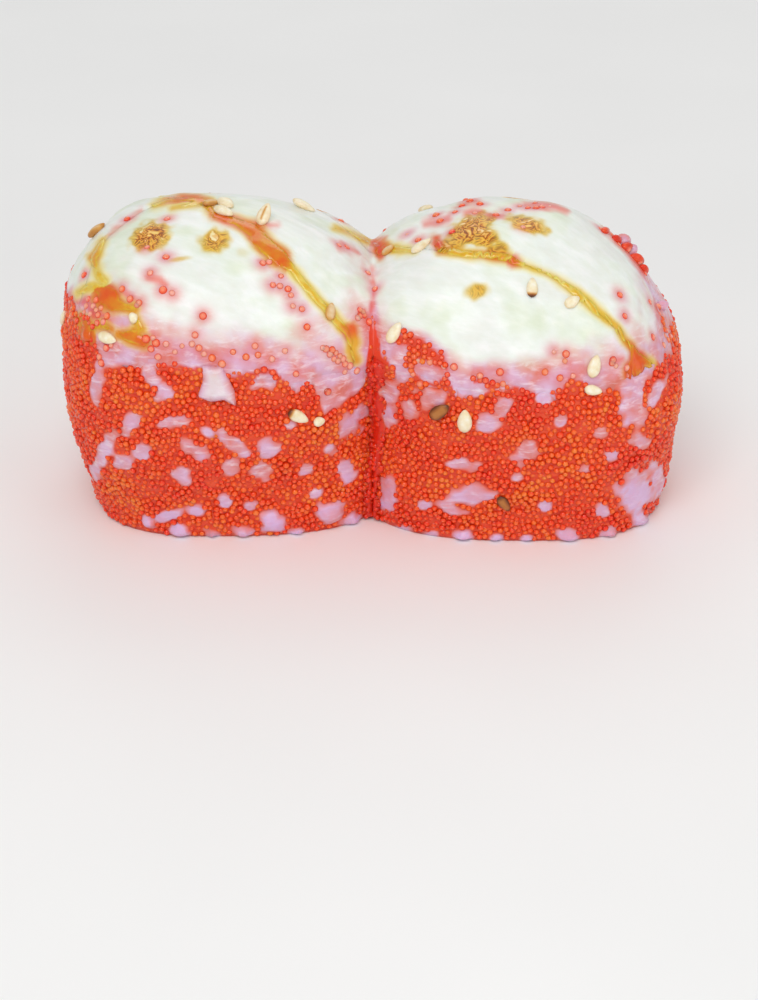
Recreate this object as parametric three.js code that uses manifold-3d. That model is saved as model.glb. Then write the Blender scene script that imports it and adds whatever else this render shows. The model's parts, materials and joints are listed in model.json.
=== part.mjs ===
// A sushi roll in two slices that still touch: rice coated with red fish roe, under slantwise slices of
// white fish, with sesame seeds. Millimetres, +X along the roll, -Y the front, +Z up. The origin is on the
// surface that the roll stands on, under the middle of the cleft between the slices.
import * as THREE from "three";
import { mergeVertices } from "three/addons/utils/BufferGeometryUtils.js";
import Module from "manifold-3d";

const wasm = await Module();
wasm.setup();

// Size of one slice. Its plan is a squarish oval, and its top a dome that starts at the waist.
const SLICE_PITCH = 44;
const HALF_LENGTH = 22; // from a slice's centre to its free end
const HALF_DEPTH = 20.8;
const HEIGHT = 42.4;
const WAIST_HEIGHT = 19;
const PLAN_SQUARENESS = 2.8; // 2 is an ellipse, more is squarer
const DOME_SQUARENESS = 2.3;

// Towards the cleft each slice reaches past its neighbour's face and is cut off flat there. It reaches
// further above the shoulder, where the fish bridges the cleft, so the cleft is deep below and shallow above.
const CLEFT_REACH_LOW = 24.6;
const CLEFT_REACH_HIGH = 28;
const CLEFT_REACH_RISE = [21, 28];
const CLEFT_GAP = 0.4;

// Fish slices: thin at the rim, thick on top, and clear of the rice under them and of each other.
const FISH_THICKNESS = 2.4;
const FISH_RIM_THICKNESS = 0.7;
const FISH_THICKENING = 7; // height above the rim over which the fish gets its full thickness
const FISH_CLEARANCE = 0.35;
const SEAM_GAP = 0.5;

// Roe, rice and sesame at true size.
const EGG_DIAMETER = 1.0;
const GRAIN = { length: 6, width: 2.6, thickness: 2.2 };
const SEED = { length: 3.2, width: 1.8, thickness: 1.0 };
const ROE_DEPTH = 0.5; // the rice lies this far inside the skin that the roe reaches
const ROE_MARGIN = 1.5; // the roe ends this far below the fish's rim
const EGGS_PER_SLICE = 75;
const GRAINS_PER_SLICE = 16;

// The fish's rim height round each slice, at steps of 45 degrees from +X, anticlockwise seen from above.
const TAB_AT = 270;
const TAB_HALF_WIDTH = 13;
const LEFT = {
  side: -1,
  taper: 0.18,
  taperPower: 1.15,
  freeEndSquareness: 2.8,
  rim: [27, 27, 27, 28.5, 30.5, 30.5, 27, 25.5],
  tab: 4, // how far the fish hangs down in a narrow tab on the front
};
const RIGHT = {
  side: 1,
  taper: 0.11,
  taperPower: 1.3,
  freeEndSquareness: 1.65,
  rim: [30.5, 33, 28.5, 27, 27, 25.5, 24.5, 25.5],
  tab: 0,
};

// Seams between the fish slices in plan, each from the back to the front.
const BACK_LEFT_SEAM = [
  [-36, 24],
  [-32, 13],
  [-27.5, 5],
];
const END_SEAM = [
  [-27.5, 5],
  [-31.3, 2.9],
  [-34.5, 0],
  [-38.2, -6.6],
  [-39.6, -10.8],
  [-44, -18],
];
const LEFT_SEAM = [
  [-27.5, 5],
  [-24, 2],
  [-17.4, -5],
  [-10.9, -11.8],
  [-6.4, -15],
  [-3.2, -15.6],
  [-1.4, -18.5],
  [0.8, -24],
];
const RIGHT_SEAM = [
  [-14, 24],
  [-9, 13],
  [-4, 5],
  [2.1, -0.6],
  [10, -8.4],
  [17.8, -10.3],
  [24.8, -12.2],
  [29.2, -14.2],
  [33.9, -15.4],
  [38, -15.2],
  [47, -14],
];

// Sesame seeds: those on the fish by plan place and turn, those on the roe by length, height and turn.
const FISH_SEEDS = [
  [-19.2, 0.6, -20],
  [-22.4, 3.6, 65],
  [-14.4, -2.2, 80],
  [-9.8, 6.1, -30],
  [-7.2, -14.4, 20],
  [-32.4, -13.8, 35],
  [3.4, 1.2, 30],
  [7.4, -4.6, 15],
  [3, -14.5, -45],
  [21.3, -13.9, -60],
  [26.2, -16.2, 20],
  [29.5, -19.1, 80],
  [-12, 13, -50],
  [14, 9, 75],
  [29, 6, -15],
];
const ROE_SEEDS = [
  [-10.2, 20.2, -25],
  [-7.2, 18.6, 20],
  [9.2, 20.6, 30],
  [12.6, 18.4, 85],
  [29.5, 21.6, 10],
  [18, 7.2, -60],
];

const BIG = 200;

const rad = THREE.MathUtils.degToRad;
const smoothstep = THREE.MathUtils.smoothstep;
const mix = THREE.MathUtils.lerp;

// The roll's gentle unevenness at a place, as millimetres off its skin.
function swell(x, y, z) {
  return (
    0.28 * Math.sin(0.23 * x + 0.9) * Math.sin(0.31 * y + 0.16 * z) +
    0.2 * Math.sin(0.11 * x - 0.37 * z + 0.19 * y)
  );
}

// The fish's rim height at a plan angle, smooth between the 45 degree steps and wavy all along.
function rimHeight(slice, turn) {
  const steps = slice.rim.length;
  const at = ((turn / (2 * Math.PI)) * steps + steps) % steps;
  const i = Math.floor(at);
  const share = smoothstep(at - i, 0, 1);
  const wave = 0.4 * Math.sin(7 * turn + 1) + 0.3 * Math.sin(13 * turn);
  const offTab = (at - TAB_AT * (steps / 360)) / (TAB_HALF_WIDTH * (steps / 360));
  const tab = slice.tab * Math.max(0, 1 - offTab ** 2);
  return mix(slice.rim[i % steps], slice.rim[(i + 1) % steps], share) + wave - tab;
}

// A point of a slice's skin, moved in by inset. Below the waist the level is a height, and above it an
// angle, from 0 at the waist to 90 degrees on top.
function skinPoint(slice, turn, level, inset = 0) {
  const outwards = Math.cos(turn) * slice.side;
  const freeEnd = smoothstep(outwards, -1, 1);
  const dome = mix(DOME_SQUARENESS, slice.freeEndSquareness, freeEnd);
  const onDome = level.angle !== undefined;
  const top = HEIGHT - inset - WAIST_HEIGHT;
  const z = onDome
    ? WAIST_HEIGHT + top * Math.sin(level.angle) ** (2 / dome)
    : level.height;
  const below = Math.max(0, (WAIST_HEIGHT - z) / WAIST_HEIGHT);
  const narrowing = 1 - slice.taper * below ** slice.taperPower;
  const reach = mix(
    CLEFT_REACH_LOW,
    CLEFT_REACH_HIGH,
    smoothstep(z, ...CLEFT_REACH_RISE),
  );
  const along = outwards > 0 ? HALF_LENGTH * narrowing : reach;
  const across = HALF_DEPTH * narrowing;
  const radius =
    (Math.abs(Math.cos(turn) / (along - inset)) ** PLAN_SQUARENESS +
      Math.abs(Math.sin(turn) / (across - inset)) ** PLAN_SQUARENESS) **
    (-1 / PLAN_SQUARENESS);
  const closing = onDome ? Math.cos(level.angle) ** (2 / dome) : 1;
  const centre = (slice.side * SLICE_PITCH) / 2;
  const x = centre + Math.cos(turn) * radius * closing;
  const y = Math.sin(turn) * radius * closing;
  const bump = swell(x, y, z);
  const lift = onDome ? 1 - closing : 0;
  const spread = closing * Math.min(1, z / 4);
  return new THREE.Vector3(
    x + Math.cos(turn) * bump * spread,
    y + Math.sin(turn) * bump * spread,
    z + bump * lift,
  );
}

// The dome angle at which the skin has a height.
function angleAt(slice, turn, height) {
  const freeEnd = smoothstep(Math.cos(turn) * slice.side, -1, 1);
  const dome = mix(DOME_SQUARENESS, slice.freeEndSquareness, freeEnd);
  const share = (height - WAIST_HEIGHT) / (HEIGHT - WAIST_HEIGHT);
  return Math.asin(THREE.MathUtils.clamp(share, 0, 1) ** (dome / 2));
}

// The fish's thickness at a height above its rim.
function fishThickness(aboveRim) {
  const share = smoothstep(aboveRim, 0, FISH_THICKENING);
  return mix(FISH_RIM_THICKNESS, FISH_THICKNESS, share);
}

// A closed solid from rings of points, with a fan to a single point at each end. Each four-cornered
// face is halved along its shorter diagonal.
function solidFromRings(first, rings, last) {
  const count = rings[0].length;
  const points = [first, ...rings.flat(), last];
  const index = [];
  const at = (ring, i) => 1 + ring * count + (i % count);
  for (let i = 0; i < count; i++) index.push(0, at(0, i + 1), at(0, i));
  for (let r = 0; r + 1 < rings.length; r++)
    for (let i = 0; i < count; i++) {
      const [a, b, c, d] = [at(r, i), at(r, i + 1), at(r + 1, i + 1), at(r + 1, i)];
      const span = (from, to) => points[from].distanceTo(points[to]);
      if (span(a, c) < span(b, d)) index.push(a, b, c, a, c, d);
      else index.push(a, b, d, b, c, d);
    }
  const end = rings.length - 1;
  const tip = points.length - 1;
  for (let i = 0; i < count; i++) index.push(at(end, i), at(end, i + 1), tip);
  const position = points.flatMap((p) => p.toArray());
  return new THREE.BufferGeometry()
    .setAttribute("position", new THREE.Float32BufferAttribute(position, 3))
    .setIndex(index);
}

function toSolid(geometry) {
  const bare = geometry.clone().deleteAttribute("normal").deleteAttribute("uv");
  const merged = mergeVertices(bare, 1e-4);
  return new wasm.Manifold(
    new wasm.Mesh({
      numProp: 3,
      vertProperties: new Float32Array(merged.attributes.position.array),
      triVerts: new Uint32Array(merged.index.array),
    }),
  );
}

function toGeometry(solid) {
  const mesh = solid.getMesh();
  return new THREE.BufferGeometry()
    .setAttribute("position", new THREE.BufferAttribute(mesh.vertProperties, 3))
    .setIndex(new THREE.BufferAttribute(mesh.triVerts, 1));
}

// Everything on one side of the cleft's middle plane, from a distance past it.
function sideOfCleft(side, from) {
  const box = new THREE.BoxGeometry(BIG, BIG, BIG);
  return toSolid(box.translate(side * (from + BIG / 2), 0, 0));
}

const TURNS = 40;
const turnAt = (i) => (i / TURNS) * 2 * Math.PI;
const ring = (pointAt) =>
  Array.from({ length: TURNS }, (_, i) => pointAt(turnAt(i)));

// The way up from the fish's rim to the top, in shares, where fish and rice have their rings.
const FISH_RINGS = [0, 0.14, 0.33, 0.55, 0.78];

function angleUp(slice, turn, share) {
  const rim = rimHeight(slice, turn);
  return mix(angleAt(slice, turn, rim), Math.PI / 2, share);
}

// The rice of one slice with a plain surface, flat below and cut off at the cleft.
function riceCore(slice) {
  const centre = new THREE.Vector3((slice.side * SLICE_PITCH) / 2, 0, 0);
  const edge = ring((turn) => {
    const p = skinPoint(slice, turn, { height: 0 }, ROE_DEPTH);
    return p.sub(centre).multiplyScalar(0.96).add(centre);
  });
  const wall = [1, 7, 13, WAIST_HEIGHT].map((height) =>
    ring((turn) => skinPoint(slice, turn, { height }, ROE_DEPTH)),
  );
  const shoulder = [0.5, 1].map((share) =>
    ring((turn) => {
      const edgeOfRoe = rimHeight(slice, turn) - ROE_MARGIN;
      const height = mix(WAIST_HEIGHT, edgeOfRoe, share);
      const angle = angleAt(slice, turn, height);
      return skinPoint(slice, turn, { angle }, ROE_DEPTH);
    }),
  );
  const underFish = FISH_RINGS.map((share) =>
    ring((turn) => {
      const angle = angleUp(slice, turn, share);
      const height = skinPoint(slice, turn, { angle }).z;
      const thickness = fishThickness(height - rimHeight(slice, turn));
      return skinPoint(slice, turn, { angle }, thickness + FISH_CLEARANCE);
    }),
  );
  const top = skinPoint(
    slice,
    0,
    { angle: Math.PI / 2 },
    FISH_THICKNESS + FISH_CLEARANCE,
  );
  const rings = [edge, ...wall, ...shoulder, ...underFish];
  const core = toSolid(solidFromRings(centre, rings, top));
  return core.intersect(sideOfCleft(slice.side, CLEFT_GAP / 2));
}

// The fish over one slice as one shell, from its rim to the top, cut off just past the cleft's middle.
function fishCap(slice) {
  const shell = (insetAt) =>
    FISH_RINGS.map((share) =>
      ring((turn) => {
        const angle = angleUp(slice, turn, share);
        const height = skinPoint(slice, turn, { angle }).z;
        return skinPoint(slice, turn, { angle }, insetAt(height - rimHeight(slice, turn)));
      }),
    );
  const outer = shell(() => 0);
  const inner = shell(fishThickness);
  const apex = (inset) => skinPoint(slice, 0, { angle: Math.PI / 2 }, inset);
  const rings = [...inner.reverse(), ...outer];
  const cap = toSolid(solidFromRings(apex(FISH_THICKNESS), rings, apex(0)));
  return cap.intersect(sideOfCleft(slice.side, -0.02));
}

// The plan curve through a seam's points.
function seamCurve(points) {
  const path = points.map(([x, y]) => new THREE.Vector2(x, y));
  return new THREE.SplineCurve(path).getPoints(4 * points.length);
}

// A thin upright wall along a seam, which parts the fish on its two sides.
function seamWall(points) {
  const middle = seamCurve(points);
  const offset = (sign) =>
    middle.map((p, i) => {
      const before = middle[Math.max(0, i - 1)];
      const after = middle[Math.min(middle.length - 1, i + 1)];
      const along = after.clone().sub(before).normalize();
      const across = new THREE.Vector2(-along.y, along.x);
      return p.clone().addScaledVector(across, (sign * SEAM_GAP) / 2);
    });
  const outline = [...offset(1), ...offset(-1).reverse()];
  const depth = 2 * HEIGHT;
  const wall = new THREE.ExtrudeGeometry(new THREE.Shape(outline), {
    depth,
    bevelEnabled: false,
  });
  return toSolid(wall);
}

// A low-poly ball of a given size, drawn out to a point at one end if asked, lying along X.
function pebble({ length, width, thickness }, point = 0) {
  const ball = new THREE.SphereGeometry(0.5, 6, 4).rotateZ(Math.PI / 2);
  const place = ball.getAttribute("position");
  for (let i = 0; i < place.count; i++) {
    const narrowing = 1 - point * (place.getX(i) + 0.5);
    place.setXYZ(
      i,
      place.getX(i) * length,
      place.getY(i) * width * narrowing,
      place.getZ(i) * thickness * narrowing,
    );
  }
  return ball;
}

// The skin's outward direction at a point, from its neighbours on the same skin.
function facing(slice, turn, level, inset) {
  const step = 0.02;
  const here = skinPoint(slice, turn, level, inset);
  const round = skinPoint(slice, turn + step, level, inset).sub(here);
  const up =
    level.angle !== undefined
      ? { angle: level.angle + step }
      : { height: level.height + step };
  const rise = skinPoint(slice, turn, up, inset).sub(here);
  return { here, normal: round.cross(rise).normalize() };
}

// Lays a piece on the skin, with its thin way along the normal and a turn about it from level.
function layOn({ here, normal }, geometry, turnDegrees, sink) {
  const level = new THREE.Vector3(0, 0, 1).cross(normal).normalize();
  const steep = normal.clone().cross(level);
  const basis = new THREE.Matrix4().makeBasis(level, steep, normal);
  const turned = geometry.clone().rotateZ(rad(turnDegrees));
  const place = here.clone().addScaledVector(normal, -sink);
  return toSolid(turned.applyMatrix4(basis).translate(place.x, place.y, place.z));
}

// The turn and level of the skin at a plan place on the dome, or at a place on the front wall.
function findOnDome(x, y) {
  const slice = x < 0 ? LEFT : RIGHT;
  const turn = Math.atan2(y, x - (slice.side * SLICE_PITCH) / 2);
  let low = 0;
  let high = Math.PI / 2;
  const wanted = Math.hypot(y, x - (slice.side * SLICE_PITCH) / 2);
  for (let i = 0; i < 30; i++) {
    const angle = (low + high) / 2;
    const p = skinPoint(slice, turn, { angle });
    const reached = Math.hypot(p.y, p.x - (slice.side * SLICE_PITCH) / 2);
    if (reached > wanted) low = angle;
    else high = angle;
  }
  return { slice, turn, level: { angle: low } };
}

function levelAt(slice, turn, height) {
  return height > WAIST_HEIGHT
    ? { angle: angleAt(slice, turn, height) }
    : { height };
}

function findOnFront(x, height) {
  const slice = x < 0 ? LEFT : RIGHT;
  let low = -Math.PI;
  let high = 0;
  for (let i = 0; i < 30; i++) {
    const turn = (low + high) / 2;
    const p = skinPoint(slice, turn, levelAt(slice, turn, height), ROE_DEPTH);
    if (p.x < x) low = turn;
    else high = turn;
  }
  return { slice, turn: low, level: levelAt(slice, low, height) };
}

// Evenly spread places on a slice's roe-coated side: count of them, clear of the cleft, rim and floor.
function spreadOnSide(slice, count, shift, margin) {
  const places = [];
  const golden = 0.754877666; // the two steps of the R2 sequence
  const silver = 0.569840291;
  for (let i = 1; places.length < count; i++) {
    const turn = ((shift + golden * i) % 1) * 2 * Math.PI;
    const rims = [-0.15, 0, 0.15].map((aside) => rimHeight(slice, turn + aside));
    const highest = Math.min(...rims) - ROE_MARGIN - margin;
    const height = mix(margin + 0.3, highest, (shift + silver * i) % 1);
    const level = levelAt(slice, turn, height);
    const place = facing(slice, turn, level, ROE_DEPTH);
    if (slice.side * place.here.x > margin + 1) places.push(place);
  }
  return places;
}

function roeAndRice(slice) {
  const egg = new THREE.IcosahedronGeometry(EGG_DIAMETER / 2, 0);
  const grain = pebble(GRAIN);
  const eggs = spreadOnSide(slice, EGGS_PER_SLICE, 0.31, EGG_DIAMETER / 2);
  const grains = spreadOnSide(slice, GRAINS_PER_SLICE, 0.77, GRAIN.width / 2);
  return [
    ...eggs.map((place, i) => layOn(place, egg, 40 * i, 0.02)),
    ...grains.map((place, i) => {
      const slant = 25 * Math.sin(2.4 * i);
      return layOn(place, grain, slant, GRAIN.thickness / 2 - ROE_DEPTH);
    }),
  ];
}

const seedShape = pebble(SEED, 0.35);
const SEED_SINK = 0.1;

const roeSeeds = ROE_SEEDS.map(([x, height, turn]) => {
  const found = findOnFront(x, height);
  const place = facing(found.slice, found.turn, found.level, ROE_DEPTH);
  return { slice: found.slice, solid: layOn(place, seedShape, turn, SEED_SINK) };
});

const fishSeeds = FISH_SEEDS.map(([x, y, turn]) => {
  const found = findOnDome(x, y);
  const place = facing(found.slice, found.turn, found.level, 0);
  return layOn(place, seedShape, turn, SEED_SINK);
});

const group = new THREE.Group();

function addNode(name, solid, colour, roughness) {
  const material = new THREE.MeshStandardMaterial({ color: colour, roughness });
  const mesh = new THREE.Mesh(toGeometry(solid), material);
  mesh.name = name;
  group.add(mesh);
}

// Two slices of roe-coated rice.
for (const [name, slice] of [
  ["roe_rice_left", LEFT],
  ["roe_rice_right", RIGHT],
]) {
  const seeds = roeSeeds.filter((s) => s.slice === slice).map((s) => s.solid);
  const pieces = [riceCore(slice), ...roeAndRice(slice), ...seeds];
  const room = sideOfCleft(slice.side, CLEFT_GAP / 2);
  const floor = toSolid(new THREE.BoxGeometry(BIG, BIG, BIG).translate(0, 0, BIG / 2));
  const whole = wasm.Manifold.union(pieces).intersect(room).intersect(floor);
  addNode(name, whole, 0xe03a22, 0.35);
}

// The fish over both slices, parted along its seams, and each part with the seeds that lie on it alone.
const seams = [BACK_LEFT_SEAM, END_SEAM, LEFT_SEAM, RIGHT_SEAM].map(seamWall);
const allFish = fishCap(LEFT).add(fishCap(RIGHT));
const parted = allFish.subtract(wasm.Manifold.union(seams)).decompose();
const middleOf = (solid) => {
  const { min, max } = solid.boundingBox();
  return (min[0] + max[0]) / 2;
};
const fishParts = parted
  .filter((part) => part.volume() > 20)
  .sort((a, b) => middleOf(a) - middleOf(b));
const names = ["fish_end", "fish_left", "fish_middle", "fish_right"];
fishParts.forEach((part, i) => {
  const own = fishSeeds.filter((seed) => {
    const touches = part.intersect(seed).volume() > 0;
    const others = fishParts.filter((other) => other !== part);
    return touches && others.every((o) => o.intersect(seed).volume() === 0);
  });
  addNode(names[i], wasm.Manifold.union([part, ...own]), 0xf2efe4, 0.3);
});

export default group;
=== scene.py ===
"""The looks of a sushi roll in two touching slices: sticky rice coated with fish roe, under torched slices
of white fish with golden glaze, loose roe and sesame seeds. Shapes are worked out in millimetres, with +X
along the roll and -Y at the front, and turned to metres where a mesh is made."""

import json
import math
from dataclasses import dataclass

import bmesh
import bpy
import numpy as np
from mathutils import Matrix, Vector
from mathutils.bvhtree import BVHTree
from mathutils.kdtree import KDTree

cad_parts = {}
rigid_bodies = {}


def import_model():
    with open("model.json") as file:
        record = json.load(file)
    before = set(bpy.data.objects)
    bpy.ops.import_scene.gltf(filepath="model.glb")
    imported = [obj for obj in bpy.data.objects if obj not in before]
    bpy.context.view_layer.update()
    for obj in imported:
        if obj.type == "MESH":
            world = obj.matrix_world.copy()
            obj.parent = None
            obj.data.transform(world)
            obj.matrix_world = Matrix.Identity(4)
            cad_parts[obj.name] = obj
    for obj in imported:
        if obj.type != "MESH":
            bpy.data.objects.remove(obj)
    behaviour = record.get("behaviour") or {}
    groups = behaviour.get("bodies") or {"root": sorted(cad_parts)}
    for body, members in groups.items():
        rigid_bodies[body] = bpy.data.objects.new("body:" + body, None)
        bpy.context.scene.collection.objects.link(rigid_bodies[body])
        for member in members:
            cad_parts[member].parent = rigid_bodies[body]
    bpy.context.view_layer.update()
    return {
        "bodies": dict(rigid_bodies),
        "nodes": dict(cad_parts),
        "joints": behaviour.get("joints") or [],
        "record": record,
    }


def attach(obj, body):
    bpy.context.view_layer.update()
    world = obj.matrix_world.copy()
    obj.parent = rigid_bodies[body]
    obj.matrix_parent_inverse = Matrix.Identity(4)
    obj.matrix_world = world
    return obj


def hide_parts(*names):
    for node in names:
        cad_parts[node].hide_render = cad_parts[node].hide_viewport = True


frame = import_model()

MM = 0.001

# --- Sizes in millimetres. Those of the slices and of the fish are the solids' own

SLICE_PITCH = 44.0
HALF_LENGTH = 22.0
HALF_DEPTH = 20.8
HEIGHT = 42.4
WAIST = 19.0
PLAN_SQUARENESS = 2.8
DOME_SQUARENESS = 2.3
CLEFT_REACH_LOW = 24.6
CLEFT_REACH_HIGH = 28.0
CLEFT_REACH_RISE = (21.0, 28.0)

FISH_THICKNESS = 2.4
FISH_RIM_THICKNESS = 0.6
FISH_THICKENING = 7.0
FISH_CLEARANCE = 0.35
# The fish reaches this far below its rim as a thin film.
FISH_FILM = 1.5
SEAM_GROOVE = 0.1
SEAM_WIDTH = 0.5

EGG_DIAMETER = 0.98
EGG_SPACING = 0.65
LOOSE_EGG_SWELLING = 1.15
# A loose egg tints the fish this far round it.
EGG_HALO = 1.2
ROE_DEPTH = 0.5
# The roe lies on the rice up to this height over the fish's rim, and above it on the fish, up to its reach.
ROE_RIM = 0.3
ROE_REACH = 8
# Between the eggs, their juice and loose grains fill the hollows up to this height over the rice. Bare rice
# stands this high, and its swollen grains this much higher.
FILM_RISE = 0.14
BARE_RISE = 0.3
SWOLLEN_RISE = 0.75

# Juice fills the cleft this far out and this far to each side, and lies this thick over the rice.
CLEFT_FILL = 1.5
CLEFT_WIDTH = 2.4
CLEFT_JUICE = 0.12
# Each slice's rice stands this far over the middle plane, so that no light comes through between them.
CLEFT_OVERLAP = 0.03

# The glaze is this thick on the fish, this much thicker where it runs over the roe, and rooted this deep.
GLAZE_THICKNESS = 0.16
GLAZE_OVER_ROE = 0.4
GLAZE_ROOT = 0.7
# A sesame seed's length, width and thickness, and the longest that one may be.
SEED = (3.2, 1.75, 1.0)
LONGEST_SEED = 3.6


@dataclass
class Slice:
    """One slice of the roll. Rim heights of the fish go round it in steps of 45 degrees from +X."""

    name: str
    side: int
    taper: float
    taper_power: float
    free_end_squareness: float
    rim: tuple

    @property
    def middle(self):
        return self.side * SLICE_PITCH / 2


LEFT = Slice("left", -1, 0.18, 1.15, 2.8, (27, 27, 27, 28.5, 30.5, 30.5, 27, 25.5))
RIGHT = Slice("right", 1, 0.11, 1.3, 1.65, (30.5, 33, 28.5, 27, 27, 25.5, 24.5, 25.5))
SLICES = (LEFT, RIGHT)

# Seams between the fish slices in plan, from the back to the front.
SEAM_CORNER = (-27.5, 5)
BACK_LEFT_SEAM = [(-40, 34), (-36, 24), (-32, 13), SEAM_CORNER]
END_SEAM = [
    (-22, 7.5), SEAM_CORNER, (-31.3, 2.9), (-34.5, 0), (-38.2, -6.6), (-39.6, -10.8), (-44, -18),
    (-50, -28),
]
LEFT_SEAM = [
    SEAM_CORNER, (-24, 2), (-17.4, -5), (-10.9, -11.8), (-6.4, -15), (-3.2, -15.6), (-1.4, -18.5),
    (0.8, -24), (4, -34),
]
RIGHT_SEAM = [
    (-22, 38), (-14, 24), (-9, 13), (-4, 5), (2.1, -0.6), (10, -8.4), (17.8, -10.3), (24.8, -12.2),
    (29.2, -14.2), (33.9, -15.4), (38, -15.2), (47, -14), (60, -12),
]

# --- What the photograph shows, in pixels of its 758 x 1000 frame

PHOTO_SIZE = (758, 1000)
FOCAL_PIXELS = 2310.0
ROLL_CENTRE = (372.5, 349.0)
CAMERA_DISTANCE = 330.0
CAMERA_LIFT = math.radians(25)
# A millimetre on the roll is about this many pixels.
PIXELS_PER_MM = FOCAL_PIXELS / CAMERA_DISTANCE

# What the photograph can't show is given as if seen in a mirror, this many pixels to the right.
BACK_PAGE = 2000

# Sesame seeds: x, y, length, turn in degrees from level, and kind.
SEEDS = [
    (211, 204, 17, 10, "stained"), (226, 205, 15, -35, "plain"), (224, 213, 20, -25, "plain"),
    (264, 220, 24, 68, "slit"), (303, 208, 27, -28, "plain"), (330, 312, 18, 80, "golden"),
    (108, 338, 19, -20, "plain"), (96, 230, 20, 40, "stained"), (134, 318, 9, 20, "plain"),
    (298, 416, 22, -25, "tipped"), (319, 421, 12, 10, "plain"), (389, 251, 15, 40, "golden"),
    (422, 247, 24, 35, "plain"), (395, 333, 24, 60, "plain"), (532, 288, 20, 88, "tipped"),
    (572, 302, 17, 32, "plain"), (594, 366, 24, 76, "plain"), (593, 390, 18, -10, "plain"),
    (465, 420, 23, 88, "plain"), (440, 411, 22, 33, "brown"), (504, 503, 17, -55, "brown"),
    (62, 317, 14, 80, "plain"),
    (2170, 330, 20, 30, "plain"), (2240, 280, 22, -50, "golden"), (2320, 400, 21, 10, "plain"),
    (2430, 270, 22, 70, "plain"), (2480, 430, 20, -30, "brown"), (2560, 360, 22, 20, "plain"),
    (2130, 440, 20, 60, "plain"), (2600, 470, 18, -20, "golden"),
]

# Where the white of the fish turns pink, and where the roe begins under it.
FLESH_EDGE = [
    (60, 284), (75, 288), (95, 284), (119, 284), (130, 293), (141, 302), (150, 316), (165, 323), (200, 326),
    (230, 336), (260, 333), (290, 337), (310, 329), (340, 321), (352, 304), (362, 290), (372, 284),
    (380, 310), (392, 322), (404, 327), (420, 331), (440, 343), (455, 356), (480, 362), (510, 363),
    (540, 357), (560, 355), (590, 349), (610, 345), (628, 342), (640, 318), (648, 292),
]
ROE_EDGE = [
    (60, 292), (68, 296), (76, 312), (84, 316), (93, 322), (96, 346), (102, 368), (128, 368), (145, 366),
    (152, 372), (160, 362), (175, 364), (200, 366), (235, 374), (247, 372), (262, 368), (276, 369),
    (288, 384), (297, 396), (303, 386), (312, 386), (318, 400), (324, 415), (338, 408), (350, 396),
    (358, 393), (364, 385), (367, 370), (369, 345), (370, 316), (374, 318), (378, 338), (382, 352),
    (387, 352), (392, 338), (397, 332), (410, 333), (428, 342), (444, 358), (447, 368), (450, 384),
    (455, 393), (462, 398), (470, 396), (473, 376), (485, 380), (498, 384), (503, 394), (512, 380),
    (520, 388), (535, 388), (545, 393), (560, 388), (570, 378), (584, 378), (586, 392), (600, 392),
    (620, 392), (622, 402), (628, 412), (632, 428), (638, 428), (641, 405), (644, 385), (652, 375),
    (658, 356), (664, 340),
]

# The deep red in the cleft between the slices, as one stroke: x, y and width. It places the juice that
# fills the cleft, and the painted shade that darkens the rice and roe there.
CLEFT_FILM = [
    (371, 312, 5), (375, 332, 8), (377, 350, 12), (376, 378, 16), (376, 402, 14), (378, 436, 11),
    (374, 466, 11), (371, 492, 11), (372, 518, 12),
]

# Bare rice between the roe: x, y, width, height and turn in degrees.
BARE_PATCHES = [
    (98, 385, 9, 42, -4), (103, 455, 12, 60, -24), (176, 422, 30, 11, 8), (195, 449, 36, 13, -38),
    (234, 444, 40, 11, -35), (268, 448, 24, 16, 10), (261, 470, 20, 16, 0), (231, 467, 16, 13, 20),
    (182, 474, 20, 16, -30), (142, 451, 15, 13, 0), (123, 461, 20, 9, 10), (131, 422, 14, 18, -20),
    (348, 425, 18, 22, 10), (347, 471, 14, 26, 0), (265, 383, 24, 12, 10), (428, 373, 30, 16, -20),
    (396, 353, 18, 16, -35), (404, 372, 12, 16, 10), (388, 392, 12, 18, 20), (360, 412, 20, 10, 30),
    (151, 374, 15, 30, 12), (164, 391, 20, 14, 0), (168, 515, 34, 11, 20), (196, 509, 20, 10, 0),
    (487, 422, 21, 15, 0), (525, 451, 25, 24, 40), (470, 494, 42, 18, 5), (450, 507, 27, 8, -20),
    (464, 464, 27, 9, -8), (517, 477, 10, 7, 0), (503, 405, 16, 20, 0), (631, 408, 24, 40, 20),
    (655, 392, 10, 30, -30), (636, 490, 34, 46, -15), (656, 480, 14, 40, 10), (390, 493, 14, 30, 0),
    (660, 298, 60, 22, -67), (660, 342, 22, 30, 20), (2658, 296, 76, 30, -67), (411, 408, 13, 18, 10),
    (433, 398, 28, 18, -15), (391, 388, 16, 16, 0), (391, 415, 12, 18, 0), (545, 398, 16, 10, 0),
    (560, 420, 10, 8, 0), (600, 432, 12, 9, 30), (585, 470, 10, 8, 0), (330, 448, 10, 8, 0),
    (305, 470, 12, 9, 20), (290, 425, 9, 7, 0), (160, 395, 12, 8, 30), (225, 500, 12, 8, 0),
    (250, 505, 12, 8, 0), (425, 505, 10, 8, 0), (545, 505, 12, 8, 0), (600, 510, 14, 10, 0),
    (610, 455, 12, 8, 0), (470, 388, 26, 10, -10), (520, 382, 24, 10, 0), (615, 375, 26, 14, 20),
    (640, 440, 16, 12, 0), (316, 492, 12, 8, 0), (208, 432, 16, 7, -30),
]

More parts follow.
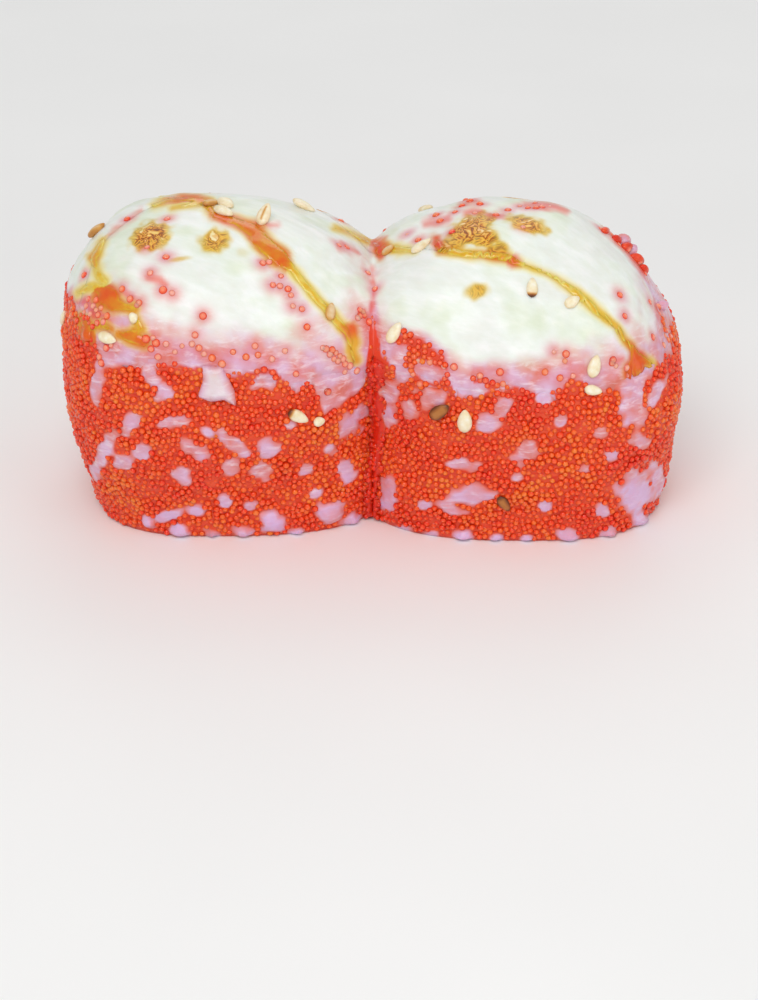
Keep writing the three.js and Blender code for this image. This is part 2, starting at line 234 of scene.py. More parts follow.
# Swollen rice grains that bulge along the bottom edge: x, y, width, height and turn in degrees.
SWOLLEN_GRAINS = [
    (329, 512, 28, 20, 10), (272, 521, 24, 20, -10), (243, 530, 18, 11, 0), (181, 529, 22, 14, 5),
    (298, 531, 15, 8, 0), (352, 520, 14, 12, 0), (401, 531, 16, 10, 5), (463, 535, 18, 9, 0),
    (527, 539, 16, 8, 0), (568, 535, 24, 11, -8), (610, 533, 16, 10, 0), (640, 520, 16, 12, 0),
    (150, 521, 14, 9, -10), (212, 534, 12, 7, 0), (430, 536, 14, 7, 0), (495, 538, 14, 7, 0),
    (2140, 512, 20, 12, 5), (2205, 530, 22, 12, 0), (2262, 534, 18, 10, 0), (2330, 526, 22, 13, 8),
    (2415, 530, 18, 10, 0), (2490, 538, 22, 11, 0), (2555, 536, 18, 10, 0), (2620, 524, 20, 12, -5),
]

# Lumps that stand out on the right shoulder, beside the fish, in the same way. Then their thickness in
# millimetres, and 1 for bare rice or -1 for rice under red juice.
SHOULDER_LUMPS = [
    (627, 239, 20, 16, -45, 3.2, 1), (635, 249, 14, 12, -55, 2.7, 1), (662, 306, 12, 10, -60, 2.0, 1),
    (605, 231, 18, 8, -30, 1.2, -1), (616, 240, 20, 10, -40, 1.8, -1), (626, 249, 22, 11, -45, 2.2, -1),
    (636, 260, 22, 10, -55, 2.0, -1), (643, 270, 16, 8, -60, 1.6, -1),
]

# The folded flap of fish that hangs over the roe: its outline.
FLAP = [
    (202, 366), (221, 366), (229, 380), (235, 392), (236, 406), (225, 400), (209, 400), (197, 396),
    (203, 383),
]

# Loose roe eggs lying on or in the fish.
LOOSE_EGGS = [
    (263, 263), (269, 262), (281, 276), (273, 285), (280, 286), (288, 289), (291, 295), (293, 306),
    (302, 309), (307, 327), (203, 316), (339, 245), (347, 247), (167, 219), (147, 247), (166, 257),
    (150, 273), (163, 290), (172, 293), (84, 275), (130, 299), (139, 303), (195, 335), (192, 344),
    (199, 348), (204, 354), (212, 358), (255, 346), (246, 357), (258, 355), (272, 359), (285, 351),
    (328, 392), (368, 273), (375, 289), (452, 232), (523, 227), (508, 210), (475, 213), (496, 215),
    (440, 221), (620, 295), (625, 316), (554, 352), (566, 354), (565, 361), (454, 367), (407, 234),
    (418, 240), (462, 206), (470, 201), (480, 204), (535, 203), (542, 207), (550, 206), (536, 208),
    (520, 206), (528, 208), (455, 212), (436, 215), (363, 312), (360, 316), (340, 356), (332, 350),
    (326, 349), (545, 372), (560, 378), (573, 376), (430, 362), (444, 366), (500, 372), (480, 376),
    (650, 302), (233, 352), (222, 364), (175, 352), (166, 344), (182, 346), (601, 229), (612, 235),
    (619, 245), (629, 250), (640, 263), (645, 274), (658, 306), (660, 314), (127, 219), (88, 299),
    (93, 306), (90, 314), (98, 315), (103, 322), (86, 306), (122, 289), (146, 339), (153, 338), (156, 343),
    (151, 349), (158, 357), (137, 305), (96, 300), (65, 299), (70, 301), (67, 306), (72, 308), (66, 313),
    (71, 316), (68, 321), (360, 310), (364, 315), (369, 322), (358, 318), (345, 372), (327, 391),
    (296, 374), (420, 384), (418, 361), (413, 374), (503, 384), (613, 360), (616, 366), (336, 353),
    (343, 359), (338, 361), (330, 354), (345, 364), (323, 348), (334, 359), (350, 366), (357, 371),
    (84, 312), (96, 310), (101, 308), (97, 323), (107, 316), (111, 345), (106, 348), (99, 357), (101, 363),
    (627, 368), (629, 375), (612, 363), (653, 337), (667, 330), (668, 340), (664, 345), (671, 336),
    (665, 336), (2140, 270), (2148, 277), (2175, 300), (2210, 312), (2217, 316), (2262, 290), (2300, 330),
    (2310, 338), (2420, 300), (2450, 322), (2456, 329), (2500, 290), (2520, 340), (2570, 320), (2577, 326),
    (2610, 300), (2200, 250), (2340, 262), (2470, 244), (2545, 262), (2386, 286), (2120, 320), (2630, 330),
    (2240, 344),
]

# Torched spots: x, y, width, height, turn in degrees and how dark.
TORCHED_SPOTS = [
    (151, 236, 34, 24, 22, 1.0), (139, 242, 14, 12, 0, 0.8), (215, 241, 27, 20, 10, 0.75),
    (180, 258, 22, 5, 12, 0.4), (243, 253, 13, 10, 0, 0.2), (470, 230, 44, 22, 28, 1.0),
    (452, 243, 24, 14, 20, 0.7), (527, 224, 38, 15, -18, 0.8), (498, 250, 20, 14, 10, 0.7),
    (477, 291, 22, 14, 15, 0.6), (485, 238, 22, 16, 0, 0.9), (2190, 245, 34, 22, 15, 0.9),
    (2290, 262, 20, 13, 0, 0.5), (2530, 240, 40, 22, -15, 1.0), (2585, 262, 22, 14, 10, 0.7),
    (2450, 280, 26, 16, 20, 0.8),
]

# Strokes of golden glaze. Each point has x, y, width and depth of colour, from 0 for yellow to 1 for red.
GLAZE = [
    [(208, 208, 7, 0.5), (216, 216, 9, 0.72), (226, 220, 10, 0.82), (236, 222, 9, 0.7),
     (245, 226, 12, 0.62)],
    [(245, 226, 12, 0.62), (254, 230, 16, 0.74), (259, 238, 18, 0.58), (266, 246, 18, 0.58),
     (274, 252, 17, 0.62), (281, 258, 17, 0.7), (287, 265, 11, 0.6), (292, 269, 7, 0.3),
     (300, 278, 8, 0.28), (307, 287, 8, 0.3), (315, 296, 7, 0.34), (321, 304, 7, 0.36),
     (330, 313, 9, 0.3), (337, 321, 8, 0.3), (343, 327, 9, 0.35)],
    [(341, 326, 8, 0.4), (350, 331, 12, 0.85), (354, 341, 11, 0.45), (352, 351, 7, 0.42),
     (357, 361, 5, 0.5)],
    [(154, 205, 4, 0.3), (168, 200, 5, 0.6), (184, 198, 5, 0.75), (198, 199, 6, 0.7), (210, 202, 7, 0.5)],
    [(172, 208, 3, 0.35), (188, 205, 5, 0.3), (200, 204, 5, 0.35)],
    [(335, 228, 4, 0.3), (345, 231, 4, 0.4), (356, 236, 4, 0.4), (368, 241, 4, 0.45)],
    [(103, 241, 4, 0.35), (99, 249, 7, 0.35), (94, 258, 9, 0.5), (96, 268, 6, 0.3), (99, 275, 8, 0.25),
     (103, 281, 9, 0.25)],
    [(94, 255, 3, 0.85), (93, 261, 3, 0.85)],
    [(78, 293, 4, 0.25), (85, 289, 7, 0.3), (93, 287, 8, 0.25), (101, 287, 8, 0.3)],
    [(100, 290, 12, 0.7), (107, 296, 22, 0.8), (112, 303, 17, 0.66), (124, 307, 9, 0.58),
     (134, 309, 7, 0.5)],
    [(137, 320, 6, 0.42), (140, 329, 8, 0.52), (131, 337, 14, 0.55), (143, 342, 11, 0.7)],
    [(131, 337, 14, 0.55), (119, 334, 6, 0.6)],
    [(93, 327, 7, 0.5), (102, 326, 6, 0.5), (111, 329, 4, 0.6)],
    [(82, 318, 7, 0.6), (86, 326, 10, 0.72), (86, 337, 9, 0.85)],
    [(374, 243, 5, 0.9), (379, 248, 9, 0.95), (380, 255, 5, 0.9)],
    [(384, 247, 6, 0.8), (394, 249, 7, 0.35), (404, 250, 7, 0.2), (411, 250, 5, 0.2)],
    [(436, 237, 5, 0.9), (438, 244, 8, 0.95), (441, 250, 7, 0.7)],
    [(441, 250, 8, 0.6), (452, 252, 8, 0.4), (466, 254, 7, 0.4), (482, 254, 8, 0.45), (496, 256, 8, 0.6),
     (508, 258, 8, 0.5)],
    [(506, 258, 6, 0.8), (514, 261, 7, 0.9), (521, 264, 5, 0.5)],
    [(521, 264, 4, 0.3), (540, 271, 3, 0.3), (557, 279, 4, 0.3), (576, 292, 8, 0.3), (589, 304, 8, 0.3),
     (605, 318, 7, 0.35), (616, 326, 5, 0.4), (624, 338, 5, 0.45), (632, 347, 6, 0.7)],
    [(635, 352, 7, 0.85), (638, 359, 15, 0.9), (640, 367, 13, 0.75), (636, 372, 9, 0.55)],
    [(642, 360, 12, 0.8), (650, 364, 8, 0.4)],
    [(630, 366, 8, 0.85), (630, 375, 8, 0.85)],
]

# Red smears in the fish, where roe has burst or shows through: x, y and width along strokes.
RED_SMEARS = [
    [(461, 204, 4), (470, 202, 6), (479, 204, 4)], [(466, 214, 5), (480, 212, 6)],
    [(489, 216, 6), (502, 215, 6)], [(425, 224, 4), (436, 221, 6), (448, 219, 6)],
    [(525, 204, 5), (540, 205, 8), (555, 207, 7), (566, 212, 4)],
    [(260, 262, 4), (272, 262, 7), (278, 263, 4)], [(148, 279, 4), (160, 280, 7), (166, 285, 6)],
    [(88, 300, 12), (98, 314, 16), (108, 324, 8)], [(340, 246, 7), (348, 249, 4), (356, 254, 2)],
    [(262, 224, 5), (277, 226, 5)], [(122, 290, 8), (137, 304, 8)],
    [(106, 239, 1), (125, 222, 3), (141, 210, 1)], [(362, 313, 9), (368, 324, 6)],
    [(66, 298, 8), (69, 322, 8)], [(381, 242, 12), (381, 254, 6)],
    [(372, 268, 2), (374, 290, 3), (371, 312, 4)], [(604, 228, 5), (624, 246, 8), (645, 274, 6)],
    [(659, 308, 5), (661, 316, 5)], [(612, 361, 6), (622, 359, 8)],
]


# --- Small tools

def mix(a, b, share):
    return a + (b - a) * share


def smoothstep(low, high, x):
    share = np.clip((x - low) / (high - low), 0, 1)
    return share * share * (3 - 2 * share)


def unit(vectors):
    return vectors / np.maximum(np.linalg.norm(vectors, axis=-1, keepdims=True), 1e-12)


def cos_sin(degrees):
    return math.cos(math.radians(degrees)), math.sin(math.radians(degrees))


def near_segment(points, start, step):
    """How far along a segment it comes nearest to each point, as a share, and how near it comes."""
    offset = points - start
    share = np.clip((offset @ step) / (step @ step), 0, 1)
    return share, np.linalg.norm(offset - share[:, None] * step, axis=1)


def waves(table, length, seed, count=9):
    """Smooth unevenness at a table's places, mostly between -1 and 1, as sine waves of about one length in
    all directions."""
    draw = np.random.default_rng(seed)
    ways = unit(draw.normal(size=(count, 3)))
    numbers = 2 * math.pi / (length * draw.uniform(0.7, 1.6, count))
    phases = draw.uniform(0, 2 * math.pi, count)
    return np.sin(table[:, :3] @ (ways * numbers[:, None]).T + phases).sum(-1) / math.sqrt(2 * count)


def linear(hex_colour):
    """An sRGB hex colour as linear values, opaque."""
    parts = [int(hex_colour[i : i + 2], 16) / 255 for i in (1, 3, 5)]
    return tuple(p / 12.92 if p <= 0.04045 else ((p + 0.055) / 1.055) ** 2.4 for p in parts) + (1.0,)


# --- The roll's skin

def swell(points):
    """The roll's gentle unevenness at a place, in millimetres off its skin."""
    x, y, z = np.moveaxis(points, -1, 0)
    one = 0.28 * np.sin(0.23 * x + 0.9) * np.sin(0.31 * y + 0.16 * z)
    return one + 0.2 * np.sin(0.11 * x - 0.37 * z + 0.19 * y)


def dome_squareness(piece, turn):
    """How square the dome is, eased from the cleft round to the free end."""
    return mix(DOME_SQUARENESS, piece.free_end_squareness, smoothstep(-1, 1, np.cos(turn) * piece.side))


def skin(piece, turn, level, inset=0.0):
    """Points of a slice's skin, moved in by inset. A level below zero is a depth under the waist, and one
    above it an angle up the dome, with a right angle at the top."""
    turn, level, inset = np.broadcast_arrays(turn, level, inset)
    x, y = np.cos(turn), np.sin(turn)
    dome = dome_squareness(piece, turn)
    angle = np.clip(level, 0, math.pi / 2)
    rise = (HEIGHT - inset - WAIST) * np.sin(angle) ** (2 / dome)
    z = WAIST + np.where(level < 0, level, rise)
    below = np.clip((WAIST - z) / WAIST, 0, 1)
    narrowing = 1 - piece.taper * below**piece.taper_power
    reach = mix(CLEFT_REACH_LOW, CLEFT_REACH_HIGH, smoothstep(*CLEFT_REACH_RISE, z))
    along = np.where(x * piece.side > 0, HALF_LENGTH * narrowing, reach) - inset
    across = HALF_DEPTH * narrowing - inset
    flat = np.abs(x / along) ** PLAN_SQUARENESS + np.abs(y / across) ** PLAN_SQUARENESS
    closing = np.where(level < 0, 1, np.maximum(np.cos(angle), 1e-9) ** (2 / dome))
    radius = flat ** (-1 / PLAN_SQUARENESS) * closing
    points = np.stack([piece.middle + x * radius, y * radius, z], -1)
    spread = closing * np.minimum(1, z / 4)
    lift = np.where(level < 0, 0, 1 - closing)
    return points + np.stack([x * spread, y * spread, lift], -1) * swell(points)[..., None]


def rim_height(piece, turn):
    """The height of the fish's rim, smooth between its steps and wavy all along."""
    steps = len(piece.rim)
    at = (turn / (2 * math.pi) * steps) % steps
    before = np.floor(at).astype(int) % steps
    rims = np.array(piece.rim, float)
    wave = 0.4 * np.sin(7 * turn + 1) + 0.3 * np.sin(13 * turn)
    return mix(rims[before], rims[(before + 1) % steps], smoothstep(0, 1, at - np.floor(at))) + wave


def level_at(piece, turn, height):
    """The level at which the skin has a height."""
    share = np.clip((height - WAIST) / (HEIGHT - WAIST), 0, 1)
    return np.where(height < WAIST, height - WAIST, np.arcsin(share ** (dome_squareness(piece, turn) / 2)))


def above_rim(points):
    """How far points lie above the fish's rim."""
    left = points[:, 0] < 0
    found = np.empty(len(points))
    for piece, own in ((LEFT, left), (RIGHT, ~left)):
        turn = np.arctan2(points[own, 1], points[own, 0] - piece.middle)
        found[own] = points[own, 2] - rim_height(piece, turn)
    return found


def fish_depth(above):
    """The fish's thickness at a height above its rim."""
    return mix(FISH_RIM_THICKNESS, FISH_THICKNESS, smoothstep(0, FISH_THICKENING, above))


# --- Sheets of triangles. A table has a row for each point: its place, and any further values

WELD_DISTANCE = 0.07


def ring_triangles(rows, columns):
    """Two triangles for each square between rings of points that lie one over another."""
    row, column = np.meshgrid(np.arange(rows - 1), np.arange(columns), indexing="ij")
    a = (row * columns + column).ravel()
    b = (row * columns + (column + 1) % columns).ravel()
    c, d = b + columns, a + columns
    return np.concatenate([np.stack([a, b, c], 1), np.stack([a, c, d], 1)])


def edges_of(triangles):
    """The edges of all triangles as pairs of points, in the order that runs round each."""
    return np.concatenate([triangles[:, [i, (i + 1) % 3]] for i in range(3)])


def point_normals(points, triangles):
    """The facing at each point, from the triangles round it by their size."""
    corners = points[triangles]
    facing = np.cross(corners[:, 1] - corners[:, 0], corners[:, 2] - corners[:, 0])
    normals = np.zeros_like(points)
    for i in range(3):
        np.add.at(normals, triangles[:, i], facing)
    return unit(normals)


def tidy(table, triangles):
    """Drops triangles that have lost an edge, and points that no triangle uses."""
    a, b, c = triangles.T
    triangles = triangles[(a != b) & (b != c) & (a != c)]
    used, numbers = np.unique(triangles, return_inverse=True)
    return table[used], numbers.reshape(-1, 3)


def smooth(points, triangles, weight, rounds):
    """Moves points towards the middle of their neighbours, by a weight for each."""
    edges = np.unique(np.sort(edges_of(triangles), 1), axis=0)
    count = np.bincount(edges.ravel(), minlength=len(points))[:, None]
    for _ in range(rounds):
        total = np.zeros_like(points)
        np.add.at(total, edges[:, 0], points[edges[:, 1]])
        np.add.at(total, edges[:, 1], points[edges[:, 0]])
        points = mix(points, total / count, weight[:, None])
    return points


def cut_along(table, triangles, field):
    """Splits triangles where a field changes sign. Returns the table, the triangles where the field is
    above zero and the rest."""
    field = np.where(np.abs(field) < 1e-3, 1e-3, field)
    edges = np.sort(edges_of(triangles), 1)
    edges = np.unique(edges[(field[edges[:, 0]] > 0) != (field[edges[:, 1]] > 0)], axis=0)
    share = field[edges[:, 0]] / (field[edges[:, 0]] - field[edges[:, 1]])
    added = mix(table[edges[:, 0]], table[edges[:, 1]], share[:, None])
    count = len(table)
    key = edges[:, 0] * count + edges[:, 1]
    positive = field[triangles] > 0
    crossed = (positive.sum(1) == 1) | (positive.sum(1) == 2)
    kept, kept_inside = triangles[~crossed], positive[~crossed, 0]
    split, signs = triangles[crossed], positive[crossed]
    lone_inside = signs.sum(1) == 1
    lone = np.where(lone_inside, signs.argmax(1), (~signs).argmax(1))
    rows = np.arange(len(split))
    a, b, c = (split[rows, (lone + i) % 3] for i in range(3))
    cuts = (np.minimum(a, other) * count + np.maximum(a, other) for other in (b, c))
    ab, ac = (count + np.searchsorted(key, cut) for cut in cuts)
    tip = np.stack([a, ab, ac], 1)
    base = np.concatenate([np.stack([ab, b, c], 1), np.stack([ab, c, ac], 1)])
    base_inside = np.tile(~lone_inside, 2)
    inside = np.concatenate([kept[kept_inside], tip[lone_inside], base[base_inside]])
    outside = np.concatenate([kept[~kept_inside], tip[~lone_inside], base[~base_inside]])
    return weld(np.concatenate([table, added]), count, inside, outside)


def weld(table, count, *parts):
    """Joins the points from number count on with any that lie close."""
    tree = KDTree(len(table))
    for number, place in enumerate(table[:, :3].tolist()):
        tree.insert(place, number)
    tree.balance()
    numbers = np.arange(len(table))
    for number in range(count, len(table)):
        near = min(found for _, found, _ in tree.find_range(table[number, :3].tolist(), WELD_DISTANCE))
        numbers[number] = numbers[near]
    return (table, *(numbers[triangles] for triangles in parts))


def closed_shell(outer, inner, triangles):
    """Joins a sheet's outer and inner places to a solid, with a wall along its edge."""
    count = len(outer)
    a, b = edges_of(triangles).T
    alone = ~np.isin(a * count + b, b * count + a)
    a, b = a[alone], b[alone]
    walls = [np.stack([b, a, a + count], 1), np.stack([b, a + count, b + count], 1)]
    return np.concatenate([outer, inner]), np.concatenate([triangles, triangles[:, ::-1] + count, *walls])


# --- Camera, and places found through it

# A pixel past the outline slides towards the roll's middle by this share of the way, at most so many times.
SLIDE = 0.004
MOST_SLIDES = 60
SLIDE_TARGET = (ROLL_CENTRE[0], ROLL_CENTRE[1] + 60)


def add_object(name, data):
    made = bpy.data.objects.new(name, data)
    bpy.context.scene.collection.objects.link(made)
    return made


def make_camera():
    pitch = CAMERA_LIFT + math.atan((PHOTO_SIZE[1] / 2 - ROLL_CENTRE[1]) / FOCAL_PIXELS)
    yaw = math.atan((ROLL_CENTRE[0] - PHOTO_SIZE[0] / 2) / FOCAL_PIXELS)
    data = bpy.data.cameras.new("photo_camera")
    data.sensor_fit = "VERTICAL"
    data.sensor_height = 36
    data.lens = FOCAL_PIXELS * data.sensor_height / PHOTO_SIZE[1]
    data.clip_start = 0.01
    camera = add_object("photo_camera", data)
    back = Vector((0, -math.cos(CAMERA_LIFT), math.sin(CAMERA_LIFT)))
    camera.location = (Vector((0, 0, HEIGHT / 2)) + back * CAMERA_DISTANCE) * MM
    camera.rotation_euler = (math.pi / 2 - pitch, 0, yaw)
    bpy.context.scene.camera = camera
    bpy.context.view_layer.update()
    return camera


def mirror_at(x):
    """What turns a place to its mirror image where a pixel is on the back page."""
    return np.array([1, -1, 1]) if x > BACK_PAGE / 2 else np.ones(3)


class Sight:
    """Turns places into the photograph's pixels, and pixels into places on a surface."""

    def __init__(self, camera):
        self.origin = np.array(camera.matrix_world.translation) / MM
        self.turn = np.array(camera.matrix_world.to_3x3())

    def set_ground(self, *sheets):
        """Takes the sheets, each with points and triangles, as the surface that pixels are found on."""
        starts = np.cumsum([0] + [len(points) for points, _ in sheets[:-1]])
        points = np.concatenate([points[:, :3] for points, _ in sheets])
        triangles = np.concatenate([part + start for (_, part), start in zip(sheets, starts)])
        self.tree = BVHTree.FromPolygons(points.tolist(), triangles.tolist())

    def pixels(self, points):
        right, up, back = ((points - self.origin) @ self.turn).T
        across = PHOTO_SIZE[0] / 2 - FOCAL_PIXELS * right / back
        down = PHOTO_SIZE[1] / 2 + FOCAL_PIXELS * up / back
        return np.stack([across, down], 1)

    def page(self, table):
        """Pixels of a table's places that face the camera. Other places take those of their mirror images,
        on the back page. Between the two the line is ragged, so that it doesn't show."""
        points, normals = table[:, :3], table[:, 3:6]
        towards = unit(self.origin - points)
        hidden = (towards * normals).sum(1) + 0.05 * waves(points, 6, 3) < 0.02
        mirrored = points.copy()
        mirrored[hidden, 1] *= -1
        found = self.pixels(mirrored)
        found[:, 0] += np.where(hidden, BACK_PAGE, 0)
        return found

    def look(self, x, y):
        """The place and facing at a pixel, or nothing past the outline."""
        aim = np.array([x % BACK_PAGE - PHOTO_SIZE[0] / 2, PHOTO_SIZE[1] / 2 - y, -FOCAL_PIXELS])
        ray = self.turn @ unit(aim) * mirror_at(x)
        place, facing, _, _ = self.tree.ray_cast(Vector(self.origin * mirror_at(x)), Vector(ray))
        return (np.array(place), np.array(facing)) if place is not None else None

    def spot(self, x, y):
        """The place at a pixel and its facing."""
        middle = SLIDE_TARGET[0] + (BACK_PAGE if x > BACK_PAGE / 2 else 0)
        for _ in range(MOST_SLIDES):
            found = self.look(x, y)
            if found:
                return found
            x, y = mix(x, middle, SLIDE), mix(y, SLIDE_TARGET[1], SLIDE)
        raise ValueError(f"no surface near pixel {x}, {y}")

    def edge(self, line):
        """A line across the photograph, as its x and how far above the fish's rim it runs there."""
        return [x for x, _ in line], [above_rim(self.spot(x, y)[0][None])[0] for x, y in line]


def front(pixels):
    """Pixels with the back page laid on the front one."""
    return np.stack([pixels[:, 0] % BACK_PAGE, pixels[:, 1]], 1)


def in_patches(pixels, patches):
    """1 in the middle of the nearest patch, 0 on its outline and less outside."""
    best = np.full(len(pixels), -9.0)
    for x, y, width, height, turn, *_ in patches:
        c, s = cos_sin(turn)
        across, up = pixels[:, 0] - x, y - pixels[:, 1]
        share = 1 - np.hypot((across * c + up * s) / (width / 2), (up * c - across * s) / (height / 2))
        best = np.maximum(best, share)
    return best


def in_strokes(pixels, strokes):
    """How many pixels inside the strokes' edges places are, below 0 outside, and the colour there."""
    best = np.full(len(pixels), -99.0)
    colour = np.zeros(len(pixels))
    for stroke in strokes:
        for start, end in zip(stroke, stroke[1:]):
            share, distance = near_segment(pixels, start[:2], np.subtract(end[:2], start[:2]))
            inside = mix(start[2], end[2], share) / 2 - distance
            colour = np.where(inside > best, mix(start[-1], end[-1], share), colour)
            best = np.maximum(best, inside)
    return best, colour


def in_outline(pixels, corners):
    """How many pixels inside a closed outline places are, below 0 outside."""
    distance = np.full(len(pixels), 1e9)
    inside = np.zeros(len(pixels), bool)
    for start, end in zip(corners, corners[1:] + corners[:1]):
        step = np.subtract(end, start)
        distance = np.minimum(distance, near_segment(pixels, start, step)[1])
        across, down = (pixels - start).T
        spans = (pixels[:, 1] < start[1]) != (pixels[:, 1] < end[1])
        if step[1]:
            inside ^= spans & (across < down * step[0] / step[1])
    return np.where(inside, distance, -distance)


# --- Blender meshes

def make_mesh(name, points, faces, material, fields=None):
    """A smooth-shaded object from points in millimetres, with a named value for each point per field."""
    mesh = bpy.data.meshes.new(name)
    mesh.vertices.add(len(points))
    mesh.vertices.foreach_set("co", (np.asarray(points) * MM).astype(np.float32).ravel())
    mesh.loops.add(faces.size)
    mesh.loops.foreach_set("vertex_index", faces.astype(np.int32).ravel())
    mesh.polygons.add(len(faces))
    mesh.polygons.foreach_set("loop_start", np.arange(0, faces.size, faces.shape[1], dtype=np.int32))
    mesh.polygons.foreach_set("use_smooth", np.ones(len(faces), bool))
    for field, values in (fields or {}).items():
        made = mesh.attributes.new(field, "FLOAT", "POINT")
        made.data.foreach_set("value", np.asarray(values, np.float32))
    mesh.update(calc_edges=True)
    mesh.validate()
    mesh.materials.append(material)
    return add_object(name, mesh)


def finish_piece(piece, slot, *nodes):
    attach(piece, "root")
    if nodes:
        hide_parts(*nodes)


# --- Materials

# The inputs of a mix node of colours, and its settings.
SHARE, UNDER, OVER = 0, 6, 7
COLOURS = {"data_type": "RGBA", "output": 2}
SOFT = {"interpolation_type": "SMOOTHSTEP"}


def add_node(tree, kind, inputs=None, stops=(), output=0, **settings):
    """Adds a shader node with its settings, links, values and colour stops, and returns one of its outputs.
    Colours are hex values."""
    made = tree.nodes.new("ShaderNode" + kind)
    for name, value in settings.items():
        setattr(made, name, value)
    for key, value in (inputs or {}).items():
        if isinstance(value, bpy.types.NodeSocket):
            tree.links.new(value, made.inputs[key])
        else:
            made.inputs[key].default_value = linear(value) if isinstance(value, str) else value
    elements = made.color_ramp.elements if stops else ()
    for number, (position, colour) in enumerate(stops):
        element = elements[number] if number < len(elements) else elements.new(position)
        element.position = position
        element.color = linear(colour)
    return made.outputs[output]


def start_material(name, *fields, **shader):
    """A material with a principled shader, with values for its inputs by name. Returned with its nodes and
    the values that points have in the fields."""
    material = bpy.data.materials.new(name)
    material.use_nodes = True
    tree = material.node_tree
    for key, value in shader.items():
        tree.nodes["Principled BSDF"].inputs[key.replace("_", " ")].default_value = value
    return material, tree, *(
        add_node(tree, "Attribute", attribute_name=field, output="Fac") for field in fields
    )


def linked(material, **outputs):
    """Links outputs of nodes to the principled shader's inputs, by name, and returns the material."""
    tree = material.node_tree
    for key, value in outputs.items():
        tree.links.new(value, tree.nodes["Principled BSDF"].inputs[key.replace("_", " ")])
    return material


def per_mm(size):
    """The scale of a pattern with features of a size in millimetres."""
    return 1 / (size * MM)


def roe_blush(tree, place):
    """What roe stains: salmon to pink and lilac in soft clouds, crossed by fine pale streaks that are
    painted highlights, the sheen of moisture.
    Returns the colour and the streaks."""
    clouds = add_node(tree, "TexNoise", {"Vector": place, "Scale": per_mm(3.2), "Detail": 4})
    stained = add_node(
        tree, "ValToRGB", {"Fac": clouds},
        ((0.3, "#E07A6C"), (0.43, "#E2969A"), (0.54, "#DDA6BC"), (0.68, "#E3BCD8")),
    )
    levelled = add_node(tree, "Mapping", {"Vector": place, "Scale": (0.4, 0.4, 1.3)})
    streaks = add_node(
        tree, "TexNoise",
        {"Vector": levelled, "Scale": per_mm(0.9), "Detail": 4, "Roughness": 0.6, "Distortion": 0.5},
    )
    # Pale streaks standing in for the wet sheen of moisture: painted highlights.
    painted_sheen = add_node(
        tree, "MapRange", {"Value": streaks, "From Min": 0.5, "From Max": 0.72, "To Max": 0.75}
    )
    return add_node(tree, "Mix", {SHARE: painted_sheen, UNDER: stained, OVER: "#F6E4EE"}, **COLOURS), streaks


def fish_roe():
    """Salted capelin roe: tight translucent skins over a red-orange, fatty inside, wet and glossy, with
    painted
    light on each egg: painted shade at its rim, lighter where it faces out, and a painted highlight in its
    middle. Milky under the fish's moisture, where the painted rim shade and highlight are paler."""
    material, tree, tint, facing, milky = start_material(
        "salted_fish_roe", "tint", "facing", "milky", Roughness=0.14, IOR=1.38, Subsurface_Weight=0.5,
        Subsurface_Scale=0.8 * MM, Subsurface_Radius=(1.0, 0.3, 0.1), Coat_Weight=0.25, Coat_Roughness=0.08,
    )
    # Painted light on each egg: the darker red at its rim is painted shade, and the lit reds are painted
    # where it faces out.
    colour = add_node(tree, "ValToRGB", {"Fac": tint}, ((0.0, "#CC200E"), (1.0, "#EC4410")))
    lit = add_node(tree, "ValToRGB", {"Fac": tint}, ((0.0, "#FA3412"), (0.5, "#FF4C14"), (1.0, "#FF7C26")))
    outwards = add_node(tree, "MapRange", {"Value": facing, "From Min": 0.2, "From Max": 0.75})
    # A painted highlight: a pale dot in the middle of each egg, where it faces straight out.
    painted_highlight = add_node(tree, "MapRange", {"Value": facing, "From Min": 0.8, "To Max": 0.6})
    # Milky eggs: the same painted shade at the rim and painted highlight in the middle, paler.
    milky_with_painted_light = add_node(
        tree, "ValToRGB", {"Fac": facing}, ((0.35, "#D8553E"), (0.8, "#EE8674"), (1.0, "#F8B4A4"))
    )
    for share, over in ((outwards, lit), (painted_highlight, "#FF9058"), (milky, milky_with_painted_light)):
        colour = add_node(tree, "Mix", {SHARE: share, UNDER: colour, OVER: over}, **COLOURS)
    return linked(material, Base_Color=colour)


def sticky_rice():
    """Vinegared short-grain rice, wet with the roe's juice: pink to lilac where bare, salmon at the edge of
    the roe, and red between the eggs, with a darker red in the cleft between the slices as painted shade."""
    material, tree, bare, lilac, deep = start_material(
        "roe_stained_sticky_rice", "bare", "lilac", "deep", Roughness=0.28, IOR=1.38,
        Subsurface_Weight=0.4, Subsurface_Scale=0.8 * MM, Subsurface_Radius=(1.2, 0.5, 0.4),
        Coat_Weight=0.15, Coat_Roughness=0.12,
    )
    place = add_node(tree, "TexCoord", output="Object")
    blush, streaks = roe_blush(tree, place)
    rice = add_node(tree, "Mix", {SHARE: lilac, UNDER: blush, OVER: "#DDBCE4"}, **COLOURS)
    inner = add_node(tree, "MapRange", {"Value": bare, "From Max": 0.4})
    rice = add_node(tree, "Mix", {SHARE: inner, UNDER: "#E87462", OVER: rice}, **COLOURS)
    shown = add_node(tree, "MapRange", {"Value": bare, "From Min": -0.15, "From Max": 0.1}, **SOFT)
    colour = add_node(tree, "ValToRGB", {"Fac": streaks}, ((0.35, "#DC2E0E"), (0.65, "#F2562C")))
    # In the cleft, deep paints the rice a darker red: painted shade.
    for share, over in ((deep, "#DE2C16"), (shown, rice)):
        colour = add_node(tree, "Mix", {SHARE: share, UNDER: colour, OVER: over}, **COLOURS)
    wrinkled = add_node(tree, "Bump", {"Height": streaks, "Distance": 0.3 * MM, "Strength": 0.6})
    return linked(material, Base_Color=colour, Normal=wrinkled)


